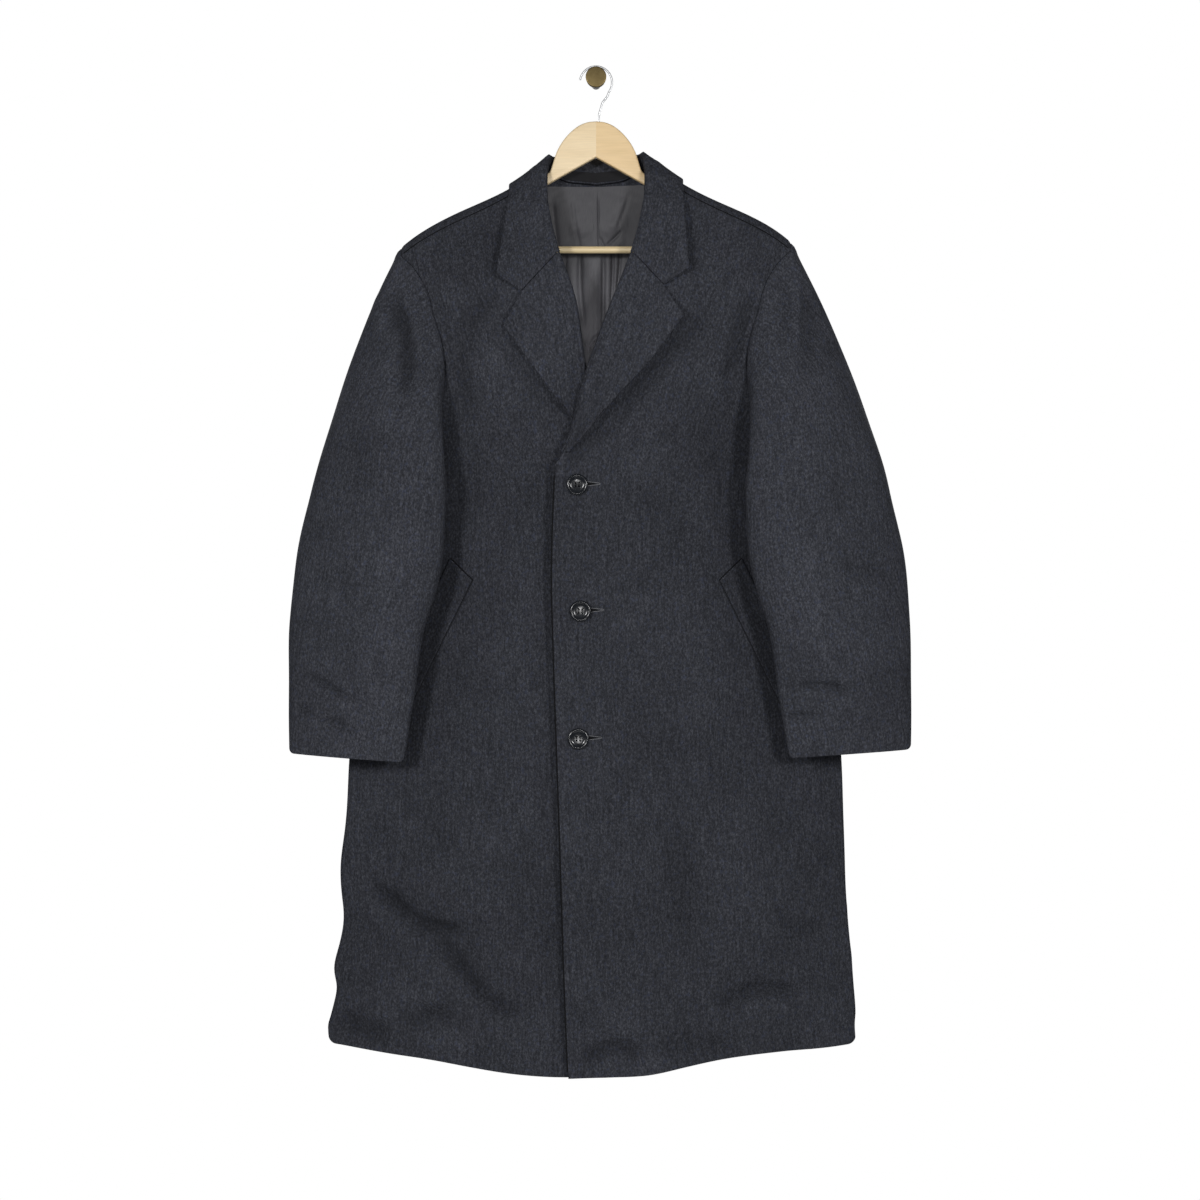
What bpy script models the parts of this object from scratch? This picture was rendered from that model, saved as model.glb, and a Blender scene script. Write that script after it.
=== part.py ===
"""Long single-breasted overcoat on a wooden hanger, hung from a round wall peg.

Lengths are in millimetres until a mesh is made. The origin is the centre of the
peg's wall face: X runs to the wearer's left, Y into the wall and Z up.
"""
import math
from collections import namedtuple

import bmesh
import bpy
import numpy as np
from mathutils import Vector
from mathutils.bvhtree import BVHTree

MM = 0.001
LEFT = 1
RIGHT = -1
SIDE_NAMES = {LEFT: "left", RIGHT: "right"}

# Walls and clearances
CLOTH_WALL = 2.2
COLLAR_WALL = 3.0
LINING_WALL = 1.0
LABEL_WALL = 0.8
BEFORE_COAT_Y = -400.0
SEAM_GAP = 0.3
LAY_GAP = 0.5
SLEEVE_AGREE = 0.3

# Two rims that face each other across a seam are split the same way, by this ranking of their ends
RIM_RANK = np.array([0.013, 0.007, 1.0])

# Grid sizes
SKIRT_ROWS = 13
CHEST_ROWS = 14
BLADE_ROWS = 8
YOKE_ROWS = 6
PANEL_COLUMNS = 10
SLEEVE_ROWS = 12

# The left shoulder hangs higher than the right one: how much, from which height up and how far in
SHOULDER_LIFT = 7.0
LIFT_FROM_Z = -600.0
LIFT_RISE = 270.0
LIFT_ACROSS = 120.0

# Folds die away over these shares of a panel's width, and over this share of their own length
FOLD_FADE_EDGE = 0.20
FOLD_FADE_SEAM = 0.25
FOLD_END = 0.3

# Edges sharper than these, in degrees, stay crisp or are rounded
CRISP_ANGLE = 40.0
ROUNDED_ANGLE = 50.0
WELD_GAP = 0.00001

Point = namedtuple("Point", "x y z")
Flat = namedtuple("Flat", "x z")
Turn = namedtuple("Turn", "share flat turn reach early late")
Ring = namedtuple("Ring", "outer_x inner_x outer_z inner_z outer_y inner_y depth")
Leave = namedtuple("Leave", "phi x y z")
Fold = namedtuple("Fold", "x0 z0 x1 z1 width depth")
Ripple = namedtuple("Ripple", "z height width")

# Free edge of the over front, hem to break, then its roll line and neck edge
OVER_EDGE = (
    Point(-34, -97, -1242),
    Point(-38, -99, -1140),
    Point(-45, -102, -920),
    Point(-51.5, -104, -727),
    Point(-54, -105, -629),
    Point(-50, -106, -486),
)
OVER_NECK = (
    Point(-50, -106, -486),
    Point(-39, -106, -469),
    Point(-12, -104, -381),
    Point(14, -99, -307),
    Point(44, -87, -230),
    Point(56, -79, -195),
    Point(66, -70, -158),
)
UNDER_EDGE = (
    Point(10, -90, -1241),
    Point(10, -94, -1000),
    Point(10, -95, -629),
    Point(7, -92, -486),
)
UNDER_NECK = (
    Point(7, -92, -486),
    Point(-3, -92, -455),
    Point(-19, -94, -342),
    Point(-28, -94, -284),
    Point(-48, -87, -224),
    Point(-59, -79, -192),
    Point(-68, -70, -158),
)
# Neck end of the shoulder seam, and the chest row at which the gorge meets the roll line
SHOULDER_NECK = Point(74.5, -60, -124)
GORGE_ROW = 10

# Half-width of the body down the side seam, hem to underarm
SIDE_SEAM = (
    Point(332, -22, -1209),
    Point(325, -22, -1130),
    Point(317, -21, -1040),
    Point(310, -20, -856),
    Point(297, -19, -660),
    Point(282, -18, -540),
    Point(283, -20, -480),
)
FRONT_ARMHOLE = (
    Point(283, -20, -480),
    Point(256, -38, -472),
    Point(228, -50, -455),
    Point(205, -61, -430),
    Point(192, -70, -400),
    Point(187, -76, -366),
    Point(190, -79, -335),
    Point(199, -79, -305),
    Point(210, -75, -268),
    Point(226, -67, -241),
    Point(243, -60, -224),
)
BACK_ARMHOLE = (
    Point(283, -20, -480),
    Point(262, -13, -455),
    Point(240, -9, -420),
    Point(226, -9, -370),
    Point(221, -11, -320),
    Point(224, -17, -270),
)
BACK_SHOULDER = (
    Point(224, -17, -270),
    Point(234, -28, -235),
    Point(244, -46, -213),
    Point(243, -60, -224),
)
CENTRE_BACK_SKIRT = (
    Point(0, -7, -1214),
    Point(0, -8, -900),
    Point(0, -9, -480),
)
CENTRE_BACK = (
    Point(0, -9, -480),
    Point(0, -8, -300),
    Point(0, -12, -190),
    Point(0, -20, -131),
)
BACK_NECK = (
    Point(0, -20, -131),
    Point(40, -24, -126),
    Point(64, -36, -114),
    Point(71, -48, -111),
    SHOULDER_NECK,
)

# Front hem, from the right side seam round to the left one
HEM = (
    Flat(-332, -1209),
    Flat(-256, -1219),
    Flat(-205, -1224),
    Flat(-155, -1232),
    Flat(-106, -1239),
    Flat(-56, -1242),
    Flat(66, -1240),
    Flat(116, -1229),
    Flat(165, -1220),
    Flat(215, -1215),
    Flat(293, -1213),
    Flat(332, -1209),
)
HEM_FADE = 0.25

# How a row across a panel leaves the middle, comes in to the seam and spreads its fall in height
FRONT_TURNS = (
    Turn(0.00, 0.45, 1.00, 13, 0.16, 0.70),
    Turn(1.00, 0.45, 1.00, 13, 0.16, 0.70),
    Turn(1.07, 0.42, 0.30, 26, 0.15, 0.70),
    Turn(1.30, 0.38, 0.16, 44, 0.14, 0.70),
    Turn(1.70, 0.34, 0.10, 44, 0.20, 0.65),
    Turn(2.00, 0.33, 0.00, 50, 0.50, 0.55),
)
BACK_TURNS = (
    Turn(0.00, 0.50, 1.00, 8, 0.18, 0.70),
    Turn(0.80, 0.50, 1.00, 8, 0.18, 0.70),
    Turn(1.00, 0.48, 0.72, 12, 0.17, 0.70),
    Turn(1.25, 0.42, 0.45, 24, 0.15, 0.70),
    Turn(2.00, 0.36, 0.12, 46, 0.20, 0.65),
    Turn(2.50, 0.33, 0.00, 50, 0.50, 0.55),
    Turn(3.00, 0.33, 0.00, 50, 0.50, 0.55),
)

# Soft troughs (plus, towards the wall) and ridges (minus) on the fronts
SKIRT_FOLDS = (
    Fold(-285, -1010, -130, -1128, 26, 6.0),
    Fold(-150, -1112, -68, -1165, 22, 4.0),
    Fold(-290, -1150, -205, -1182, 20, -4.0),
    Fold(-262, -1068, -160, -1160, 28, -4.0),
    Fold(-18, -1225, 36, -1192, 18, -4.0),
    Fold(36, -1192, 66, -1236, 16, 3.0),
    Fold(150, -1122, 250, -1160, 24, 4.5),
    Fold(120, -1190, 240, -1208, 26, -4.0),
    Fold(176, -560, 262, -860, 40, 5.0),
    Fold(-176, -560, -262, -860, 40, 5.0),
)
BACK_FOLDS = (
    Fold(-60, -520, -90, -1205, 46, 3.5),
    Fold(70, -560, 110, -1205, 50, 3.0),
    Fold(-190, -760, -225, -1200, 42, -3.0),
    Fold(200, -820, 230, -1200, 40, -3.0),
)
RIGHT_RIPPLES = (
    Ripple(-1030, 4.0, 170),
    Ripple(-987, 4.0, 40),
    Ripple(-1057, -4.0, 28),
    Ripple(-1113, 4.0, 22),
    Ripple(-1140, -2.5, 14),
    Ripple(-1192, 6.0, 26),
)

# Sleeve rings from below the armhole to the cuff
SLEEVE_RINGS = (
    Ring(361, 183, -516, -526, -57, -107, 40),
    Ring(380, 190, -598, -612, -57, -106, 39),
    Ring(387, 212, -676, -692, -56, -102, 36),
    Ring(388.5, 224, -756, -768, -55, -96, 29),
    Ring(389, 237, -840, -849, -54, -90, 20),
)
# The outer edge of each sleeve hangs a little further out or in, and each cuff higher or lower
SLEEVE_REACH = {LEFT: 3.5, RIGHT: -6.0}
SLEEVE_LIFT = {LEFT: 1.5, RIGHT: -3.5}
UNDERARM_PHI = 275.0
SLEEVE_LEAVES = (
    Leave(0, 0.43, 0.02, -0.90),
    Leave(60, 0.50, -0.35, -0.79),
    Leave(110, 0.35, -0.62, -0.70),
    Leave(160, -0.05, -0.85, -0.50),
    Leave(205, -0.05, -0.92, -0.40),
    Leave(250, 0.05, -0.92, -0.38),
    Leave(275, 0.55, -0.75, -0.35),
    Leave(281, 0.80, -0.50, -0.20),
    Leave(290, 0.85, -0.35, -0.35),
    Leave(305, 0.72, -0.20, -0.65),
    Leave(330, 0.54, -0.03, -0.84),
    Leave(360, 0.43, 0.02, -0.90),
)
FRONT_SEAM_ROW = 4
BACK_SEAM_ROW = 3
UNDERARM_EASE = 2.5
UNDERARM_FRONT_SPREAD = 60.0
UNDERARM_BACK_SPREAD = 8.0

# Lapels: outer edge from the break to the peak, notch, and the collar's own corners
LAPEL_EDGES = {
    LEFT: (Flat(-43, -478), Flat(-16, -459), Flat(22, -424), Flat(69, -365), Flat(108, -299)),
    RIGHT: (
        Flat(0, -478),
        Flat(-14, -452),
        Flat(-31, -429),
        Flat(-60, -394),
        Flat(-86, -356),
        Flat(-114, -315),
    ),
}
NOTCHES = {LEFT: Flat(83, -264), RIGHT: Flat(-92, -272)}
COLLAR_POINTS = {LEFT: Flat(115, -243), RIGHT: Flat(-122, -251)}
LAPEL_ROWS = 15
LAPEL_COLUMNS = 7
LAPEL_START = 0.06
NOTCH_SHARE = 4 / 7
LAPEL_BOW = {LEFT: 3.0, RIGHT: 1.5}
LAPEL_BEND_FROM = 0.7

# How a lapel wraps round the front's roll edge: steps over the front and out of it
Wrap = namedtuple("Wrap", "over out")
LAPEL_WRAPS = (Wrap(-0.7, -1.8), Wrap(-0.8, 0.5), Wrap(1.2, 1.8))
ROLL_COLUMNS = (0.0, 0.04, 0.08)

# Collar sections from the centre back to the gorge: share of the neck seam, roll and outer edge
Section = namedtuple("Section", "neck roll_x roll_y roll_z edge_x edge_y edge_z")
COLLAR_SECTIONS = (
    Section(0.00, 0, -18, -96, 0, -10, -150),
    Section(0.16, 30, -23, -96, 42, -10, -149),
    Section(0.31, 50, -36, -97, 82, -22, -140),
    Section(0.39, 57, -48, -98, 104, -44, -136),
    Section(0.48, 61, -63, -126, 108, -62, -149),
    Section(0.64, 60, -75, -158, 109, -72, -165),
    Section(0.82, 54, -85, -194, 112, -79, -207),
    Section(1.00, 46, -93, -229, 115, -84, -243),
)
COLLAR_STEPS = 3
COLLAR_GAP = 1.2
RIDGE_GAP = 3.0
RIDGE_SECTION = 3.2
RIDGE_SPREAD = 1.3
COLLAR_BACK_OUT = np.array([0.0, 1.0, 0.3])
COLLAR_FRONT_OUT = np.array([0.0, -0.4, 1.0])
GORGE_BLEND = 0.60

# Pocket welts, as the corners of a slanted strip
WELT_TOP = Flat(153, -628)
WELT_LOW = Flat(232, -786)
WELT_ACROSS = Flat(28, 27)
WELT_ROWS = 9
WELT_COLUMNS = 2

# Buttons
BUTTON_PLACES = {"top": Flat(-23, -511), "middle": Flat(-19, -666), "lower": Flat(-21.5, -823)}
BUTTON_RADIUS = 13.0
BUTTON_RIM = 3.6
BUTTON_DISH = 2.2
BUTTON_SIDES = 24
BUTTON_PROFILE = (
    (0.0, 0.0),
    (BUTTON_RADIUS - 2.0, 0.0),
    (BUTTON_RADIUS, 1.4),
    (BUTTON_RADIUS - 0.6, BUTTON_RIM - 0.5),
    (BUTTON_RADIUS - 2.0, BUTTON_RIM),
    (BUTTON_RADIUS - 4.0, BUTTON_DISH),
    (0.0, BUTTON_DISH - 0.3),
)

# Lining and label
LINING_COLUMNS = 9
LINING_HEM_ROW = 1
LINING_YOKE_ROWS = 2
LINING_WAVE = 1.5
LINING_WAVE_STEP = 2.1
LINING_PLEAT = 0.6
LINING_FADE_ROWS = 4
LABEL_ROWS = 4
LABEL_SPAN = (0.10, 0.85)

# Hanger, hook and peg
HANGER_Y = -46.0
ARM_THICK = 12.0
ARM_HUMP = (
    Flat(0, -55),
    Flat(18, -58),
    Flat(23, -61),
    Flat(34, -71.5),
    Flat(44.5, -84),
    Flat(48.5, -93),
    Flat(53, -105),
    Flat(59, -117),
    Flat(70, -126),
)
ARM_APEX_Z = -100.0
ARM_SLOPE = 0.558
ARM_FOOT_X = 190.0
ARM_END_X = 205.0
ARM_FOOT_Z = -226.0
ARM_SEAT_X = 86.0
ARM_BELOW_Z = -260.0
ARM_ROUND = 2.5
ARM_SAMPLES = 13
ARM_STATIONS = 12
BAR_RADIUS = 4.5
BAR_Z = -215.0
WIRE_RADIUS = 1.45
HOOK_RADIUS = 20.05
HOOK_CENTRE_Z = -5.8
HOOK_TIP_ANGLE = 168.0
HOOK_LEAVE_ANGLE = -35.0
HOOK_ARC_POINTS = 17
HOOK_TAIL_POINTS = 10
HOOK_STEM = (Flat(13.6, -24), Flat(8.5, -30.5), Flat(6, -38), Flat(4, -46), Flat(3.5, -54.9))
STEM_RADIUS = 12.5
STEM_LENGTH = 50.0
STEM_NECK_RADIUS = 6.0
STEM_NECK_LENGTH = 42.0
STEM_FLARE = 2.0
CAP_RADIUS = 13.0
CAP_THICK = 3.6
CAP_CHAMFER = 0.8
PEG_SIDES = 32


def clear_scene():
    """Empty the file of its own objects."""
    for item in list(bpy.data.objects):
        bpy.data.objects.remove(item, do_unlink=True)


def smooth_step(value):
    """Ease from 0 to 1."""
    held = np.clip(value, 0.0, 1.0)
    return held * held * (3.0 - 2.0 * held)


def unit(vectors):
    """Vectors of length one along the last axis."""
    vectors = np.asarray(vectors, dtype=float)
    lengths = np.linalg.norm(vectors, axis=-1, keepdims=True)
    return vectors / np.maximum(lengths, 1e-9)


def length_shares(points):
    """Share of a polyline's length at each of its points."""
    lengths = np.linalg.norm(np.diff(points, axis=0), axis=1)
    return np.concatenate(([0.0], np.cumsum(lengths))) / lengths.sum()


def curve_through(points, shares, knots=None):
    """Read a smooth curve through the points at shares 0 to 1 of its length, or at given knots."""
    points = np.asarray(points, dtype=float)
    shares = np.atleast_1d(np.asarray(shares, dtype=float))
    knots = length_shares(points) if knots is None else np.asarray(knots, dtype=float)
    slopes = np.gradient(points, knots, axis=0)
    spans = np.clip(np.searchsorted(knots, shares, side="right") - 1, 0, len(points) - 2)
    width = (knots[spans + 1] - knots[spans])[:, None]
    s = (shares - knots[spans])[:, None] / width
    start = (1 + 2 * s) * (1 - s) ** 2 * points[spans]
    end = s * s * (3 - 2 * s) * points[spans + 1]
    leave = s * (1 - s) ** 2 * width * slopes[spans]
    arrive = s * s * (s - 1) * width * slopes[spans + 1]
    return start + end + leave + arrive


def shoulder_lift(side, points):
    """Raise the left shoulder and armhole, fading out below them."""
    if side == LEFT:
        fade = smooth_step((points[:, 2] - LIFT_FROM_Z) / LIFT_RISE)
        across = smooth_step(points[:, 0] / LIFT_ACROSS)
        points[:, 2] += SHOULDER_LIFT * fade * across
    return points


def side_curve(table, side, shares):
    """A boundary curve on one side of the coat."""
    points = curve_through(table, shares)
    points[:, 0] *= side
    return shoulder_lift(side, points)


def shoulder_neck(side):
    """Neck end of the shoulder seam on one side."""
    return shoulder_lift(side, np.array([SHOULDER_NECK]) * np.array([side, 1.0, 1.0]))


def ripple_sides(side, points):
    """The right side seam waves in and out above the hem."""
    if side == RIGHT:
        for ripple in RIGHT_RIPPLES:
            swell = np.exp(-(((points[:, 2] - ripple.z) / ripple.width) ** 2))
            points[:, 0] -= ripple.height * swell
    return points


def read_turns(turns, shares):
    """Row handles at each row's share of the panel."""
    known = [turn.share for turn in turns]
    flat = np.interp(shares, known, [turn.flat for turn in turns])
    bend = np.interp(shares, known, [turn.turn for turn in turns])
    reach = np.interp(shares, known, [turn.reach for turn in turns])
    early = np.interp(shares, known, [turn.early for turn in turns])
    late = np.interp(shares, known, [turn.late for turn in turns])
    return [values[:, None] for values in (flat, bend, reach, early, late)]


def panel_rows(inner, outer, turns, shares, columns, facing):
    """Rows from the middle edge to the seam, each one cubic curve that turns in to the side."""
    flat, bend, reach, early, late = read_turns(turns, shares)
    span = outer - inner
    away = np.sign(span[:, :1])
    first = inner + span * np.concatenate((flat, np.zeros_like(flat), early), axis=1)
    heading = np.concatenate((-away * (1 - bend), facing * bend, np.zeros_like(bend)), axis=1)
    second = outer + unit(heading) * reach
    second[:, 2:] = inner[:, 2:] + span[:, 2:] * late
    s = np.asarray(columns)[None, :, None]
    grid = (1 - s) ** 3 * inner[:, None, :] + 3 * s * (1 - s) ** 2 * first[:, None, :]
    return grid + 3 * s * s * (1 - s) * second[:, None, :] + s ** 3 * outer[:, None, :]


def fold_depth(folds, grid):
    """Depth of the soft folds at each point of a grid."""
    depth = np.zeros(grid.shape[:2])
    for fold in folds:
        run = np.array([fold.x1 - fold.x0, fold.z1 - fold.z0])
        length = np.linalg.norm(run)
        along = run / length
        from_start = grid[..., [0, 2]] - np.array([fold.x0, fold.z0])
        walk = from_start @ along / length
        off = from_start @ np.array([-along[1], along[0]]) / fold.width
        swell = smooth_step(walk / FOLD_END + FOLD_END) * smooth_step((1.0 - walk) / FOLD_END + FOLD_END)
        depth += fold.depth * np.exp(-off * off) * swell
    return depth


def fade_to_seams(shape, columns):
    """Folds die away at both long edges of a panel."""
    columns = np.asarray(columns)
    edge = smooth_step(columns / FOLD_FADE_EDGE) * smooth_step((1 - columns) / FOLD_FADE_SEAM)
    return np.broadcast_to(edge[None, :], shape)


def front_edges(side, shares):
    """Free edge and seam of one front at each row."""
    edge, neck = (OVER_EDGE, OVER_NECK) if side == LEFT else (UNDER_EDGE, UNDER_NECK)
    skirt = np.clip(shares, 0.0, 1.0)
    chest = np.clip(shares - 1.0, 0.0, 1.0)
    below = (shares <= 1.0)[:, None]
    throat = np.concatenate((np.array(neck), shoulder_neck(side)))
    inner = np.where(below, curve_through(edge, skirt), curve_through(throat, chest))
    outer = np.where(below, side_curve(SIDE_SEAM, side, skirt), side_curve(FRONT_ARMHOLE, side, chest))
    return inner, ripple_sides(side, outer)


def hem_drop(side, columns):
    """Height of the hem line above the plain bottom row of a front."""
    bottom = np.zeros(1)
    row = panel_rows(*front_edges(side, bottom), FRONT_TURNS, bottom, columns, -1.0)[0]
    return np.interp(row[:, 0], [flat.x for flat in HEM], [flat.z for flat in HEM]) - row[:, 2]


def front_grid(side, shares, columns):
    """One front: shares 0 to 1 run hem to break, 1 to 2 run break to shoulder."""
    shares = np.asarray(shares, dtype=float)
    grid = panel_rows(*front_edges(side, shares), FRONT_TURNS, shares, columns, -1.0)
    grid[..., 2] += hem_drop(side, columns) * smooth_step(1.0 - shares / HEM_FADE)[:, None]
    grid[..., 1] += fold_depth(SKIRT_FOLDS, grid) * fade_to_seams(grid.shape[:2], columns)
    return grid


def back_grid(side, shares, columns):
    """One back: shares 0 to 1 hem to underarm, 1 to 2 to the nape, 2 to 3 along the neck."""
    shares = np.asarray(shares, dtype=float)
    skirt = np.clip(shares, 0.0, 1.0)
    blade = np.clip(shares - 1.0, 0.0, 1.0)
    yoke = np.clip(shares - 2.0, 0.0, 1.0)
    in_skirt = (shares <= 1.0)[:, None]
    in_blade = (shares <= 2.0)[:, None]
    neck = side_curve(BACK_NECK, side, yoke)
    inner = np.where(in_blade, curve_through(CENTRE_BACK, blade), neck)
    inner = np.where(in_skirt, curve_through(CENTRE_BACK_SKIRT, skirt), inner)
    shoulder = side_curve(BACK_SHOULDER, side, yoke)
    outer = np.where(in_blade, side_curve(BACK_ARMHOLE, side, blade), shoulder)
    outer = np.where(in_skirt, side_curve(SIDE_SEAM, side, skirt), outer)
    outer = ripple_sides(side, outer)
    grid = panel_rows(inner, outer, BACK_TURNS, shares, columns, 1.0)
    grid[..., 1] -= fold_depth(BACK_FOLDS, grid) * fade_to_seams(grid.shape[:2], columns)
    return grid


def front_shares():
    """Row shares of a front."""
    skirt = np.linspace(0.0, 1.0, SKIRT_ROWS + 1)
    return np.concatenate((skirt, 1.0 + np.linspace(0.0, 1.0, CHEST_ROWS + 1)[1:]))


def back_shares():
    """Row shares of a back."""
    skirt = np.linspace(0.0, 1.0, SKIRT_ROWS + 1)
    blade = 1.0 + np.linspace(0.0, 1.0, BLADE_ROWS + 1)[1:]
    return np.concatenate((skirt, blade, 2.0 + np.linspace(0.0, 1.0, YOKE_ROWS + 1)[1:]))


def grid_normals(grid, outward):
    """Unit normals of a grid, turned to the side that the outward vectors show."""
    normals = unit(np.cross(np.gradient(grid, axis=0), np.gradient(grid, axis=1)))
    if np.sum(normals * outward) < 0:
        normals = -normals
    return normals


def leave_direction(phi):
    """Direction in which the sleeve cloth leaves the armhole seam."""
    known = [leave.phi for leave in SLEEVE_LEAVES]
    parts = [np.interp(phi, known, [getattr(leave, axis) for leave in SLEEVE_LEAVES]) for axis in "xyz"]
    return unit(np.stack(parts, axis=-1))


def sleeve_ring(ring, side, phi):
    """Points of one sleeve ring: 0 degrees outer edge, 90 front, 180 inner edge, 270 back."""
    angle = np.radians(phi)
    outer = np.array([ring.outer_x + SLEEVE_REACH[side], ring.outer_y, ring.outer_z + SLEEVE_LIFT[side]])
    inner = np.array([ring.inner_x, ring.inner_y, ring.inner_z + SLEEVE_LIFT[side]])
    middle = (outer + inner) / 2
    across = (outer - inner) / 2
    front = np.array([0.0, -ring.depth, 0.0])
    points = middle + np.cos(angle)[:, None] * across + np.sin(angle)[:, None] * front
    points[:, 0] *= side
    return shoulder_lift(side, points)


def sleeve_grid(side, armhole, phi, rows):
    """Sleeve columns from the armhole points down through the rings."""
    rings = [sleeve_ring(ring, side, phi) for ring in SLEEVE_RINGS]
    leave = leave_direction(phi) * np.array([side, 1.0, 1.0])
    fall = np.linalg.norm(rings[0] - armhole, axis=1, keepdims=True)
    arrive = unit(rings[1] - rings[0])
    head_rows = rows // 2
    grid = []
    for s in np.linspace(0.0, 1.0, head_rows + 1)[:-1]:
        ends = (1 + 2 * s) * (1 - s) ** 2 * armhole + s * s * (3 - 2 * s) * rings[0]
        pulls = s * (1 - s) ** 2 * leave + s * s * (s - 1) * arrive
        grid.append(ends + pulls * fall)
    lower = np.stack(rings)
    shares = np.linspace(0.0, 1.0, rows - head_rows + 1)
    columns = [curve_through(lower[:, index], shares) for index in range(lower.shape[1])]
    return np.concatenate((np.stack(grid), np.stack(columns, axis=1)))


def underarm_ease(side, phi):
    """Small step away from the armhole where the sleeve doubles back under the arm."""
    spread = np.where(phi < UNDERARM_PHI, UNDERARM_FRONT_SPREAD, UNDERARM_BACK_SPREAD)
    near = smooth_step(1.5 - abs(phi - UNDERARM_PHI) / spread)
    leave = leave_direction(phi) * np.array([side, 1.0, 1.0])
    return leave * (UNDERARM_EASE * near)[:, None]


def mesh_object(name, vertices, faces, material, collection):
    """An object from points in millimetres and faces turned outwards."""
    mesh = bpy.data.meshes.new(name)
    model = bmesh.new()
    corners = [model.verts.new(Vector(vertex) * MM) for vertex in vertices]
    for face in faces:
        model.faces.new([corners[index] for index in face])
    bmesh.ops.recalc_face_normals(model, faces=model.faces)
    model.to_mesh(mesh)
    model.free()
    mesh.shade_smooth()
    mesh.set_sharp_from_angle(angle=math.radians(CRISP_ANGLE))
    mesh.materials.append(material)
    item = bpy.data.objects.new(name, mesh)
    collection.objects.link(item)
    return item


def trimmed(grid):
    """A grid drawn in by half a seam gap along its four edges."""
    grid = grid.copy()
    half = SEAM_GAP / 2
    first_row = unit(grid[1] - grid[0]) * half
    last_row = unit(grid[-2] - grid[-1]) * half
    first_column = unit(grid[:, 1] - grid[:, 0]) * half
    last_column = unit(grid[:, -2] - grid[:, -1]) * half
    grid[0] += first_row
    grid[-1] += last_row
    grid[:, 0] += first_column
    grid[:, -1] += last_column
    return grid


def wall(name, shown, hidden, material, collection):
    """A closed wall between two like grids of points."""
    rows, columns = shown.shape[:2]
    count = rows * columns
    faces = []
    for row in range(rows - 1):
        for column in range(columns - 1):
            first = row * columns + column
            quad = (first, first + 1, first + columns + 1, first + columns)
            faces.append(quad)
            faces.append(tuple(index + count for index in reversed(quad)))
    rim = [column for column in range(columns)]
    rim += [row * columns + columns - 1 for row in range(1, rows)]
    rim += [(rows - 1) * columns + column for column in range(columns - 2, -1, -1)]
    rim += [row * columns for row in range(rows - 2, 0, -1)]
    vertices = np.concatenate((shown.reshape(-1, 3), hidden.reshape(-1, 3)))
    rank = vertices @ RIM_RANK
    for here, there in zip(rim, rim[1:] + rim[:1]):
        if rank[here] < rank[there]:
            faces += [(there, here, there + count), (here, here + count, there + count)]
        else:
            faces += [(there, here, here + count), (there, here + count, there + count)]
    return mesh_object(name, vertices, faces, material, collection)


def share_seam_normals(grids, normals):
    """Give the points that meet at a seam one mean normal, but not where a sleeve doubles back."""
    meeting = {}
    for key, grid in grids.items():
        kind = "sleeve" if "sleeve" in key else "body"
        for point, normal in zip(grid.reshape(-1, 3), normals[key].reshape(-1, 3)):
            kinds = meeting.setdefault(tuple(np.round(point, 2)), {"body": [], "sleeve": []})
            kinds[kind].append(normal)
    for key, grid in grids.items():
        kind = "sleeve" if "sleeve" in key else "body"
        mean = []
        for point in grid.reshape(-1, 3):
            kinds = meeting[tuple(np.round(point, 2))]
            agree = [one @ other for one in kinds["body"] for other in kinds["sleeve"]]
            join = bool(agree) and min(agree) > SLEEVE_AGREE
            mean.append(np.sum(kinds["body"] + kinds["sleeve"] if join else kinds[kind], axis=0))
        normals[key] = unit(np.array(mean)).reshape(grid.shape)


def surface_tree(grids):
    """A search tree over the outer surfaces of some grids."""
    vertices = []
    faces = []
    for grid in grids:
        rows, columns = grid.shape[:2]
        base = len(vertices)
        vertices += [Vector(point) for point in grid.reshape(-1, 3)]
        for row in range(rows - 1):
            for column in range(columns - 1):
                first = base + row * columns + column
                faces.append((first, first + 1, first + columns + 1))
                faces.append((first, first + columns + 1, first + columns))
    return BVHTree.FromPolygons(vertices, faces)


def front_y(tree, x, z):
    """Depth of a surface seen from the front at a place."""
    hit = tree.ray_cast(Vector((x, BEFORE_COAT_Y, z)), Vector((0.0, 1.0, 0.0)))
    return hit[0].y if hit[0] else None


def pushed_clear(points, tree, towards, gaps):
    """Points moved out until each row lies its gap above the surface below it."""
    cleared = points.copy()
    for place in np.ndindex(points.shape[:-1]):
        point = Vector(points[place])
        near, normal, _, _ = tree.find_nearest(point)
        if normal.dot(Vector(towards[place])) < 0:
            normal = -normal
        height = (point - near).dot(normal)
        if height < gaps[place[0]]:
            cleared[place] = np.array(point + normal * (gaps[place[0]] - height))
    return cleared


def lapel_widths():
    """Shares across a lapel or a collar front, one of them at the notch."""
    return np.linspace(0.0, 1.0, LAPEL_COLUMNS + 1)[1:]


def notch_bump(width):
    """One at the notch, falling to nothing at the roll and at the outer edge."""
    return min(width / NOTCH_SHARE, (1 - width) / (1 - NOTCH_SHARE))


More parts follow.
